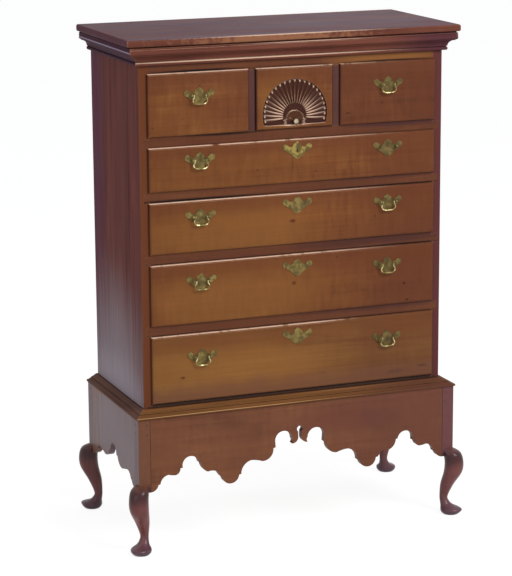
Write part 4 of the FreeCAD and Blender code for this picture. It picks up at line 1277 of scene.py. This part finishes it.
# ---------------------------------------------------------------- drawers
@dataclass
class DrawerFront:
    """A lipped drawer front with its box, and the brasses on it.

    gold and red say how strong the worn gold low on it and the red varnish at its right are.
    """

    name: str
    seed: float
    gold: float
    red: float
    marks: tuple[Patch, ...] = ()
    wood: Wood = HONEY
    pulls: tuple[float, ...] = ()
    pull_height: float = 0.0
    bare_pulls: tuple[float, ...] = ()
    key_height: float = 0.0
    key_shift: float = 0.006
    keyed: bool = False
    key_brass: Brass = Brass("plate_brass")
    lip: float = 0.006
    lip_step: float = 0.0008
    lip_round: float = 0.005
    lip_thickness: float = 0.008
    body_inset: float = 0.0002
    lock_gap: float = 0.0001
    crisp: float = 24.0
    box_bevel: float = 0.0004

    def span(self) -> tuple[Vector, Vector]:
        """The front's lowest and highest corners."""
        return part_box(self.name + "_front")

    def finish(self) -> Wood:
        """Dresses the front's wood in its patina, knots and stains.

        Returns:
            The finish.
        """
        low, high = self.span()
        tall, wide = high.z - low.z, high.x - low.x
        glow = mark(low.x + 0.3 * wide, low.z + 0.35 * tall, 0.45 * wide, 0.8 * tall,
                    tone(142, 93, 44), self.gold, 0.9)
        blush = mark(high.x, high.z, 0.36 * wide, 0.0, tone(90, 46, 29), self.red, 0.9)
        brow = mark(0.0, high.z, 0.0, 0.4 * tall, tone(98, 52, 29), 0.5, 0.8)
        return replace(self.wood, name=self.name + "_wood", seed=self.seed,
                       patches=(glow, blush, brow, *self.marks))

    def ring(self, inset: float, depth: float) -> list[Vector]:
        """Draws a rectangle inside the front's outline.

        Args:
            inset: distance from the outline.
            depth: distance behind the face.

        Returns:
            Its corners.
        """
        low, high = self.span()
        left, right = low.x + inset, high.x - inset
        foot, head = low.z + inset, high.z - inset
        return [Vector((x, low.y + depth, z))
                for x, z in ((left, foot), (right, foot), (right, head), (left, head))]

    def rim(self) -> list[list[Vector]]:
        """Draws the thumbnail moulding.

        Returns:
            Its rings, from the lip's back edge to the face.
        """
        shoulder = self.lip_thickness - self.lip_step - self.lip_round
        rings = [self.ring(0.0, self.lip_thickness), self.ring(0.0, self.lip_thickness - 0.0003)]
        for index in range(9):
            angle = index * math.pi / 16
            inset = self.lip_round * (1 - math.cos(angle))
            proud = shoulder + self.lip_round * math.sin(angle)
            rings.append(self.ring(inset, self.lip_thickness - proud))
        rings.append(self.ring(self.lip_round + 0.0002, 0.0001))
        rings.append(self.ring(self.lip_round + 0.0006, 0.0))
        return rings

    def back_board(self, mesh: Mesh) -> None:
        """Adds the part that stands in the opening, notched for the lock if the front is keyed.

        Args:
            mesh: mesh to add to.
        """
        low, high = self.span()
        side = self.lip + self.body_inset
        front, foot, top = low.y + self.lip_thickness, low.z + self.lock_gap, high.z - self.lip
        below = [(low.x + side, foot), (high.x - side, foot)]
        right, left = (high.x - side, top), (low.x + side, top)
        whole = [*below, right, left]
        layers = [(front, whole), (high.y, whole)]
        if self.keyed:
            case_low, case_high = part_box("lock_case")
            near, far = case_low.x - self.lock_gap, case_high.x + self.lock_gap
            sole, step = case_low.z - self.lock_gap, case_low.y - self.lock_gap
            plain = [*below, right, (far, top), (far, top), (near, top), (near, top), left]
            notched = [*below, right, (far, top), (far, sole), (near, sole), (near, top), left]
            layers = [(front, plain), (step, plain), (step, notched), (high.y, notched)]
        rows = skin(mesh, [[Vector((x, y, z)) for x, z in outline] for y, outline in layers])
        bmesh.ops.remove_doubles(mesh, verts=[vert for row in rows for vert in row], dist=TINY)

    def build(self) -> None:
        """Makes the front, dresses the box and mounts the brasses."""
        mesh = bmesh.new()
        self.carve(mesh)
        self.back_board(mesh)
        add_piece(self.name + "_board", self.name, mesh, self.finish().material(),
                  [self.name + "_front"], self.crisp)
        pine = replace(PINE, name=self.name + "_pine", grain=Grain.Y, seed=self.seed)
        dress(self.name + "_box", pine, self.box_bevel)
        if self.pulls:
            Brasses(self, self.span()[0].y).build()

    def carve(self, mesh: Mesh) -> None:
        """Adds the lipped board with a plain face."""
        skin(mesh, self.rim())


@dataclass
class FanFront(DrawerFront):
    """The fan drawer's front: rays that widen and rise to rounded ends, round a plain half round.

    ring_runs holds (start, end, count) of the carving's rings as shares of its reach, and knob the
    turned knob as (radius, distance from the face).
    """

    wood: Wood = FAN
    foot: float = 0.012
    radius: float = 0.096
    stilt: float = 0.031
    focus: float = 0.0225
    floor: float = 0.004
    rays: int = 23
    droop: float = math.radians(7.5)
    hub: float = 0.0345
    ray_inner: float = 0.0031
    ray_outer: float = 0.0017
    ray_fade: float = 0.004
    ray_gap: float = 0.0008
    bead_height: float = 0.0034
    bead_length: float = 0.0040
    bead_half: float = 0.0034
    lunette: float = 0.029
    lunette_stilt: float = 0.011
    lunette_height: float = 0.0020
    lunette_rim: float = 0.0031
    lunette_rim_width: float = 0.0022
    lunette_cuts: int = 6
    cut_depth: float = 0.0009
    cut_fade: float = 0.012
    wall: float = 0.0014
    sill: float = 0.0030
    knob_rise: float = 0.022
    knob_facets: int = 28
    ray_columns: int = 14
    low_columns: int = 40
    ring_runs: tuple[tuple[float, float, int], ...] = (
        (0.02, 0.42, 24), (0.42, 0.88, 12), (0.88, 1.0, 18))
    knob: tuple[Pair, ...] = (
        (0.003, -0.019), (0.003, 0.0035), (0.0036, 0.0045), (0.0050, 0.0052), (0.0072, 0.0066),
        (0.0075, 0.0084), (0.0071, 0.0100), (0.0060, 0.0116), (0.0042, 0.0126), (0.0020, 0.0130),
        (0.0, 0.0130))

    def ray_step(self) -> float:
        """Angle from one ray to the next."""
        return (math.pi + 2 * self.droop) / (self.rays - 1)

    def reach(self, angle: float) -> float:
        """Measures the recess, a stilted half round, from the rays' focus.

        Args:
            angle: direction from the focus.

        Returns:
            Distance to the recess's edge.
        """
        rise = self.stilt - self.focus
        across, up = math.cos(angle), math.sin(angle)
        around = rise * up + math.sqrt(self.radius ** 2 - (rise * across) ** 2)
        to_foot = self.focus / -up if up < 0 else math.inf
        around = min(around, to_foot)
        if abs(across) > 1e-9 and around * up < rise:
            arched = around if up >= 0 or around < self.radius else math.inf
            around = min(arched, self.radius / abs(across), to_foot)
        return around

    def relief(self, angle: float, distance: float, reach: float) -> float:
        """Height of the carving above the recess's floor.

        Args:
            angle: direction from the focus.
            distance: distance from the focus.
            reach: distance of the recess's edge that way.

        Returns:
            The height in metres.
        """
        x, z = distance * math.cos(angle), distance * math.sin(angle) + self.focus
        over = max(z - self.lunette_stilt, 0.0)
        edge = self.lunette - math.hypot(x, over)
        if edge > 0:
            if edge < self.lunette_rim_width:
                swell = min(1.0, 0.2 + 0.8 * edge / self.lunette_rim_width)
                return self.lunette_rim * math.sin(math.pi * swell) ** 0.5
            cut = abs(math.sin(self.lunette_cuts * math.atan2(over, x)))
            dip = self.cut_depth * max(0.0, 1 - cut / 0.35) * min(1.0, distance / self.cut_fade)
            return self.lunette_height - dip
        step = self.ray_step()
        place = (angle + self.droop) / step
        nearest = min(max(round(place), 0), self.rays - 1)
        aside = abs(place - nearest)
        if aside > 0.5 or distance < self.hub:
            return 0.0
        along = (distance - self.hub) / (reach - self.hub)
        start = min(1.0, (distance - self.hub) / self.ray_fade)
        end = min(1.0, max(0.0, (reach - self.ray_gap - distance) / self.ray_fade))
        crown = max(0.0, 1 - (aside / 0.48) ** 2) ** (2.6 - 1.9 * along)
        rise = (self.ray_inner + (self.ray_outer - self.ray_inner) * along ** 0.8) * crown
        ray = rise * start ** 0.5 * math.sqrt(end * (2 - end))
        bead = 1 - ((reach - self.bead_length - 0.001 - distance) / self.bead_length) ** 2 \
            - (aside * step * distance / self.bead_half) ** 2
        return max(ray, self.bead_height * math.sqrt(max(0.0, bead)))

    def carve(self, mesh: Mesh) -> None:
        """Adds the lipped board, open in its face, with the fan let into it.

        Args:
            mesh: mesh to add to.
        """
        low, _ = self.span()
        rows = skin(mesh, self.rim(), caps=False)
        mesh.faces.new(rows[0])
        middle = Vector((0.0, low.y, low.z + self.foot + self.focus))

        def at(angle: float, distance: float, depth: float) -> Vector:
            """A point of the carving."""
            return middle + Vector((distance * math.cos(angle), depth, distance * math.sin(angle)))
        columns = [(angle, self.reach(angle)) for angle in self.columns()]
        loops = [[at(angle, reach * share, self.floor - self.relief(angle, reach * share, reach))
                  for angle, reach in columns] for share in self.radial_shares()]
        loops.append([
            at(angle, reach + self.wall + self.sill * max(0.0, -math.sin(angle)) ** 0.5, 0.0)
            for angle, reach in columns])
        carved = skin(mesh, loops, caps=False)
        mesh.faces.new(carved[0])
        fill(mesh, (rows[-1], carved[-1]))

    def columns(self) -> list[float]:
        """Chooses the directions of the carving's columns, closer together over the rays.

        Returns:
            Their angles in order.
        """
        step = self.ray_step()
        first = -self.droop - step / 2
        fine = [first + step * index / self.ray_columns
                for index in range(self.rays * self.ray_columns + 1)]
        start, stop = fine[-1], first + 2 * math.pi
        corner = math.atan2(self.focus, self.radius)
        corners = [math.pi + corner, 2 * math.pi - corner]
        below = [start + (stop - start) * index / self.low_columns
                 for index in range(1, self.low_columns)]
        kept = [angle for angle in below if all(abs(angle - one) > 0.02 for one in corners)]
        return fine + sorted(kept + [one for one in corners if start < one < stop])

    def radial_shares(self) -> list[float]:
        """Shares of the reach at which the carving has rings."""
        return [start + (stop - start) * index / count for start, stop, count in self.ring_runs
                for index in range(count)] + [1.0]

    def build(self) -> None:
        """Makes the front and its knob."""
        super().build()
        low, _ = self.span()
        mesh = bmesh.new()
        foot = Vector((0.0, low.y, low.z + self.knob_rise))
        turned(mesh, self.knob, foot, -BACK, self.knob_facets)
        brass = Brass("knob_brass", tone(222, 208, 180), tone(172, 156, 124), polish=0.8)
        add_piece("fan_knob_turned", self.name, mesh, brass.material(), ["fan_knob"])


@dataclass
class Brasses:
    """The bat-shaped plates, posts and bails of one drawer.

    The hollows are arcs as (x, z, radius), and bail_path is half a bail as (x, z, radius of the rod).
    """

    drawer: DrawerFront
    face: float
    half_width: float = 0.045
    peak: float = 0.0226
    point: float = 0.028
    thickness: float = 0.0015
    lobe: float = 0.009
    lobe_rise: float = 0.006
    peak_hollow: Triple = (0.020, 0.014, 0.008)
    foot_hollow: Triple = (0.066, -0.079, 0.0794)
    spacing: float = 0.048
    pivot: float = 0.010
    neck: float = 0.0171
    pin: float = 0.0015
    pin_gap: float = 0.0007
    post_radius: float = 0.0043
    post_facets: int = 20
    pin_facets: int = 16
    bail_facets: int = 12
    plate_crisp: float = 30.0
    plate_bevel: float = 0.0004
    key_radius: float = 0.0020
    key_length: float = 0.010
    bail_path: tuple[Triple, ...] = (
        (0.0171, 0.0016, 0.0019), (0.0171, -0.0042, 0.0017), (0.0193, -0.0078, 0.0016),
        (0.0213, -0.0118, 0.0017), (0.0207, -0.0166, 0.0019), (0.0168, -0.0210, 0.0021),
        (0.0104, -0.0236, 0.0022), (0.0, -0.0240, 0.0022))

    def outline(self) -> list[Pair]:
        """Draws the plate.

        Returns:
            Its outline round its middle.
        """
        half = [(0.0, self.peak)]
        half += sweep(*self.peak_hollow, 180, 110, 10)
        half += sweep(self.half_width - self.lobe, self.lobe_rise, self.lobe, 150, -240, 20)
        half += sweep(*self.foot_hollow, 117, 20, 8)
        half.append((0.0, -self.point))
        return half + [(-x, z) for x, z in reversed(half[1:-1])]

    def keyhole(self) -> list[Pair]:
        """Draws the keyhole: a round top over a slot.

        Returns:
            Its outline round the plate's middle.
        """
        half = self.key_radius * 0.6
        foot = self.key_radius - self.key_length
        start = math.degrees(math.asin(-0.8))
        return sweep(0.0, 0.0, self.key_radius, start, 180 - 2 * start, 14) + [
            (-half, foot), (half, foot)]

    def plate(self, mesh: Mesh, x: float, z: float, keyed: bool = False) -> None:
        """Adds a plate to the drawer's face.

        Args:
            mesh: mesh to add to.
            x: place of its middle.
            z: height of its middle.
            keyed: whether it has a keyhole.
        """
        shapes = [self.outline(), self.keyhole()] if keyed else [self.outline()]
        loops = [[Vector((x + a, self.face, z + b)) for a, b in shape] for shape in shapes]
        out = BACK * -self.thickness
        if not keyed:
            plank(mesh, loops[0], out)
            return
        walls = [skin(mesh, [loop, [point + out for point in loop]], caps=False) for loop in loops]
        for level in (0, 1):
            fill(mesh, [wall[level] for wall in walls])

    def build(self) -> None:
        """Makes the plates, posts and bails. Posts match the middle plate where there is one."""
        drawer = self.drawer
        name = drawer.name
        brass = Brass(name + "_brass").material()
        nodes = [name + "_brasses"]
        plates, posts = bmesh.new(), bmesh.new()
        wide = self.post_radius
        profile = ((wide, 0.0010), (wide, 0.0022), (0.0030, 0.0034), (0.0029, 0.0052),
                   (0.0040, 0.0068), (wide, 0.0085), (wide, 0.0115), (0.0038, 0.0131),
                   (0.0024, 0.0139), (0.0, 0.0140))
        for x in drawer.pulls + drawer.bare_pulls:
            self.plate(plates, x, drawer.pull_height)
            for side in (-1, 1):
                foot = Vector((x + side * self.spacing / 2, self.face, drawer.pull_height))
                turned(posts, profile, foot, -BACK, self.post_facets)
        add_piece(name + "_plates", name, plates, brass, nodes, self.plate_crisp,
                  self.plate_bevel)
        if drawer.key_height:
            middle = bmesh.new()
            self.plate(middle, drawer.key_shift, drawer.key_height, drawer.keyed)
            brass = replace(drawer.key_brass, name=name + "_key_brass").material()
            add_piece(name + "_key_plate", name, middle, brass, nodes, self.plate_crisp,
                      self.plate_bevel)
        add_piece(name + "_posts", name, posts, brass, nodes)
        for x in drawer.pulls:
            self.bail(x)

    def bail(self, x: float) -> None:
        """Makes one hanging bail with its knuckles and pins.

        Args:
            x: place of its middle.
        """
        drawer = self.drawer
        hand = ("left_" if x < 0 else "right_") if drawer.key_height else ""
        node = f"{drawer.name}_{hand}bail"
        mesh = bmesh.new()
        half = smooth_through(self.bail_path, 6)
        path = half + [[-a, b, radius] for a, b, radius in reversed(half[:-1])]
        origin = Vector((x, self.face - self.pivot, drawer.pull_height))
        rings = []
        for index, (a, b, radius) in enumerate(path):
            before, after = path[max(index - 1, 0)], path[min(index + 1, len(path) - 1)]
            run = Vector((after[0] - before[0], 0, after[1] - before[1])).normalized()
            rings.append(circle(self.bail_facets, radius, origin + Vector((a, 0, b)), BACK,
                                run.cross(BACK)))
        skin(mesh, rings)
        pin_end = self.spacing / 2 + self.post_radius + self.pin_gap - self.neck
        profile = ((0.0019, -0.0018), (0.0023, -0.0006), (0.0023, 0.0009), (0.0018, 0.0021),
                   (self.pin, 0.0022), (self.pin, pin_end - 0.0003), (0.0009, pin_end))
        for side in (-1, 1):
            turned(mesh, profile, origin + RIGHT * (side * self.neck), RIGHT * side,
                   self.pin_facets)
        bright = tone(240, 226, 176) if x < 0 else tone(224, 206, 152)
        # Rubbed bright only below the pivot: a painted highlight on the bow and painted shade on the
        # legs.
        brass = Brass(node + "_brass", bright, tone(150, 134, 80), polish=1.2, metal=0.5,
                      roughness=0.36, tarnish=0.15, shaded=0.0, rubbed_and_lit_below=drawer.pull_height)
        add_piece(node + "_cast", node, mesh, brass.material(), [node])


@dataclass
class Drawers:
    """The seven drawers, from the top left down."""

    pull: float = 0.285
    top_pull_height: float = 1.2926
    lock_bevel: float = 0.0003

    def build(self) -> None:
        """Makes every drawer."""
        left, right = (-self.pull,), (self.pull,)
        DrawerFront("top_left_drawer", 1.0, 0.0, 0.3, (
            knot(-0.2833, 1.319), knot(-0.4214, 1.2078), knot(-0.335, 1.228, 0.003, 0.4)),
            pulls=left, pull_height=self.top_pull_height).build()
        FanFront("fan_drawer", 2.0, 0.4, 0.2).build()
        DrawerFront("top_right_drawer", 3.0, 0.0, 0.4, (
            mark(0.1615, 1.2164, 0.009, 0.003), knot(0.2682, 1.2401), knot(0.331, 1.325, 0.003, 0.4)),
            replace(HONEY, dark=tone(80, 42, 24), body=tone(99, 55, 32), light=tone(112, 66, 38)),
            pulls=right, pull_height=self.top_pull_height).build()
        DrawerFront("first_long_drawer", 4.0, 0.15, 0.5, (
            mark(-0.0082, 1.083, 0.006, 0.03, DARK, 0.3), knot(0.0634, 1.0572),
            knot(-0.1135, 1.0722, 0.005, 0.5),
            # Painted shade in the keyhole, on the board behind the key plate.
            mark(0.006, 1.1208, 0.004, 0.009, tone(6, 4, 3), 1.0, 0.0)),
            pulls=left, pull_height=1.1128, bare_pulls=right, key_height=1.1238, keyed=True,
            key_brass=Brass("key_brass", tone(192, 170, 96), tone(110, 94, 45), polish=0.4)).build()
        DrawerFront("second_long_drawer", 5.0, 0.5, 0.6, (
            mark(-0.0087, 0.919, 0.012, 0.007, tone(84, 34, 20), 0.8), knot(-0.004, 0.921, 0.003),
            knot(0.2467, 0.9139)),
            pulls=left + right, pull_height=0.954, key_height=0.968).build()
        DrawerFront("third_long_drawer", 6.0, 0.45, 0.65, (
            knot(0.1283, 0.8036), mark(-0.0047, 0.7391, 0.009, 0.008, DARK, 0.55),
            knot(0.3399, 0.709, 0.006, 0.85), knot(0.35, 0.659, 0.006, 0.8),
            knot(0.175, 0.803, 0.003, 0.4)),
            pulls=left + right, pull_height=0.7702, key_height=0.7872).build()
        DrawerFront("fourth_long_drawer", 7.0, 0.6, 0.4, (
            mark(-0.3431, 0.4948, 0.008, 0.005, tone(84, 38, 20), 0.8, 0.9),
            mark(0.4018, 0.4571, 0.020, 0.0055, tone(48, 24, 30), 0.95),
            mark(0.3132, 0.448, 0.036, 0.0075, tone(58, 32, 28), 0.8), knot(0.087, 0.4667),
            mark(0.0, 0.425, 0.0, 0.062, tone(110, 70, 54), 0.6, 0.8)),
            replace(HONEY, dark=tone(100, 60, 31), body=tone(126, 84, 43), light=tone(144, 102, 54),
                    curl=0.3, streak=1.5, rim_fade=(0.04, 0.22)),
            pulls=left + right, pull_height=0.5524, key_height=0.5864).build()
        dress("lock_case", Iron("lock_iron"), self.lock_bevel)
        dress("lock_bolt", Iron("bolt_iron"), self.lock_bevel)


# ---------------------------------------------------------------- studio
@dataclass
class Studio:
    """Plain pale floor, soft lamps and the camera."""

    camera_place: Triple = (-2.41351, -6.08439, 2.15955)
    yaw: float = math.radians(21.3)
    pitch: float = math.radians(12.72)
    roll: float = math.radians(-0.38)
    focal_pixels: float = 2289.78
    picture_width: float = 512.0
    sensor: float = 36.0
    far: float = 200.0
    floor_half: float = 40.0
    white: tuple[float, ...] = (1.0, 1.0, 1.0, 1.0)
    sky: tuple[float, ...] = (0.93, 0.95, 1.0, 1.0)
    sky_strength: float = 0.44
    floor_glow: float = 0.9

    def build(self) -> None:
        """Makes the floor, camera, room and lamps."""
        self.floor()
        self.camera()
        self.room()
        self.lamp("key_lamp", (1.6, -3.4, 3.4), (0.0, -0.1, 0.8), 2.0, 134.0)
        self.lamp("fill_lamp", (-4.2, -2.4, 1.8), (0.0, 0.0, 0.7), 2.6, 22.0)
        self.lamp("top_lamp", (0.4, 0.6, 3.9), (0.0, 0.0, 1.0), 2.4, 20.0)

    def floor(self) -> None:
        """Lays a pale floor that shows white and keeps the object's shadow."""
        graph = new_graph("floor_paper")
        speckle = graph.noise(graph.place(), 90.0, 2.0)
        paper = graph.node("BsdfDiffuse", None, {
            "Color": graph.mix((0.78, 0.78, 0.78), (0.82, 0.82, 0.82), speckle)})
        faint = graph.node("BsdfDiffuse", None, {"Color": (0.20, 0.20, 0.20, 1.0)})
        glow = graph.node("Emission", None, {"Color": self.white, "Strength": self.floor_glow})
        shown = graph.node("AddShader", None, {0: faint, 1: glow})
        both = graph.node("MixShader", None, {0: self.seen(graph), 1: paper, 2: shown})
        graph.node("OutputMaterial", None, {"Surface": both})
        mesh = bmesh.new()
        corners = ((-1, -1), (1, -1), (1, 1), (-1, 1))
        mesh.faces.new([mesh.verts.new((x * self.floor_half, y * self.floor_half, 0.0))
                        for x, y in corners])
        floor = link_mesh("studio_floor", mesh, graph.owner)

    def seen(self, graph: Graph) -> Sock:
        """Tells the rays that show a background from those that light the object.

        Args:
            graph: the graph of the floor or the room.

        Returns:
            1 for rays of the camera, reflections and refractions, 0 for lighting.
        """
        camera, glossy, clear = (graph.node("LightPath", output=f"Is {kind} Ray")
                                 for kind in ("Camera", "Glossy", "Transmission"))
        return graph.maths("MAXIMUM", graph.maths("MAXIMUM", camera, glossy), clear)

    def room(self) -> None:
        """Lights the room evenly and shows white behind the object."""
        world = bpy.data.worlds.new("studio_room")
        bpy.context.scene.world = world
        graph = Graph(world)
        light = graph.node("Background", None, {"Color": self.sky, "Strength": self.sky_strength})
        white = graph.node("Background", None, {"Color": self.white, "Strength": 1.0})
        both = graph.node("MixShader", None, {0: self.seen(graph), 1: light, 2: white})
        graph.node("OutputWorld", None, {"Surface": both})

    def lamp(self, name: str, place: Triple, aim: Triple, size: float, power: float) -> None:
        """Hangs a square soft lamp.

        Args:
            name: name of the lamp.
            place: where it hangs.
            aim: the point that it looks at.
            size: length of its sides.
            power: its power in watts.
        """
        data = bpy.data.lights.new(name, "AREA")
        data.shape = "SQUARE"
        data.size = size
        data.energy = power
        lamp = link(bpy.data.objects.new(name, data))
        lamp.location = place
        lamp.rotation_euler = (Vector(aim) - Vector(place)).to_track_quat("-Z", "Y").to_euler()

    def camera(self) -> None:
        """Sets the camera to the left of the front and over the top board, looking a little down."""
        level = Vector((math.cos(self.yaw), -math.sin(self.yaw), 0.0))
        ahead = Vector((math.sin(self.yaw), math.cos(self.yaw), 0.0))
        forward = ahead * math.cos(self.pitch) - UP * math.sin(self.pitch)
        upright = level.cross(forward)
        right = level * math.cos(self.roll) + upright * math.sin(self.roll)
        above = upright * math.cos(self.roll) - level * math.sin(self.roll)
        data = bpy.data.cameras.new("portrait")
        data.sensor_fit = "HORIZONTAL"
        data.sensor_width = self.sensor
        data.lens = self.sensor * self.focal_pixels / self.picture_width
        data.clip_end = self.far
        camera = link(bpy.data.objects.new("portrait", data))
        turn = Matrix((right, above, -forward)).transposed()
        camera.matrix_world = Matrix.Translation(self.camera_place) @ turn.to_4x4()
        bpy.context.scene.camera = camera


def main() -> None:
    logging.basicConfig(level=logging.INFO, format="%(message)s")
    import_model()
    bpy.context.scene.view_settings.view_transform = "Standard"
    LowerFrame().build()
    UpperCase().build()
    Drawers().build()
    Studio().build()


if __name__ == "__main__":
    main()
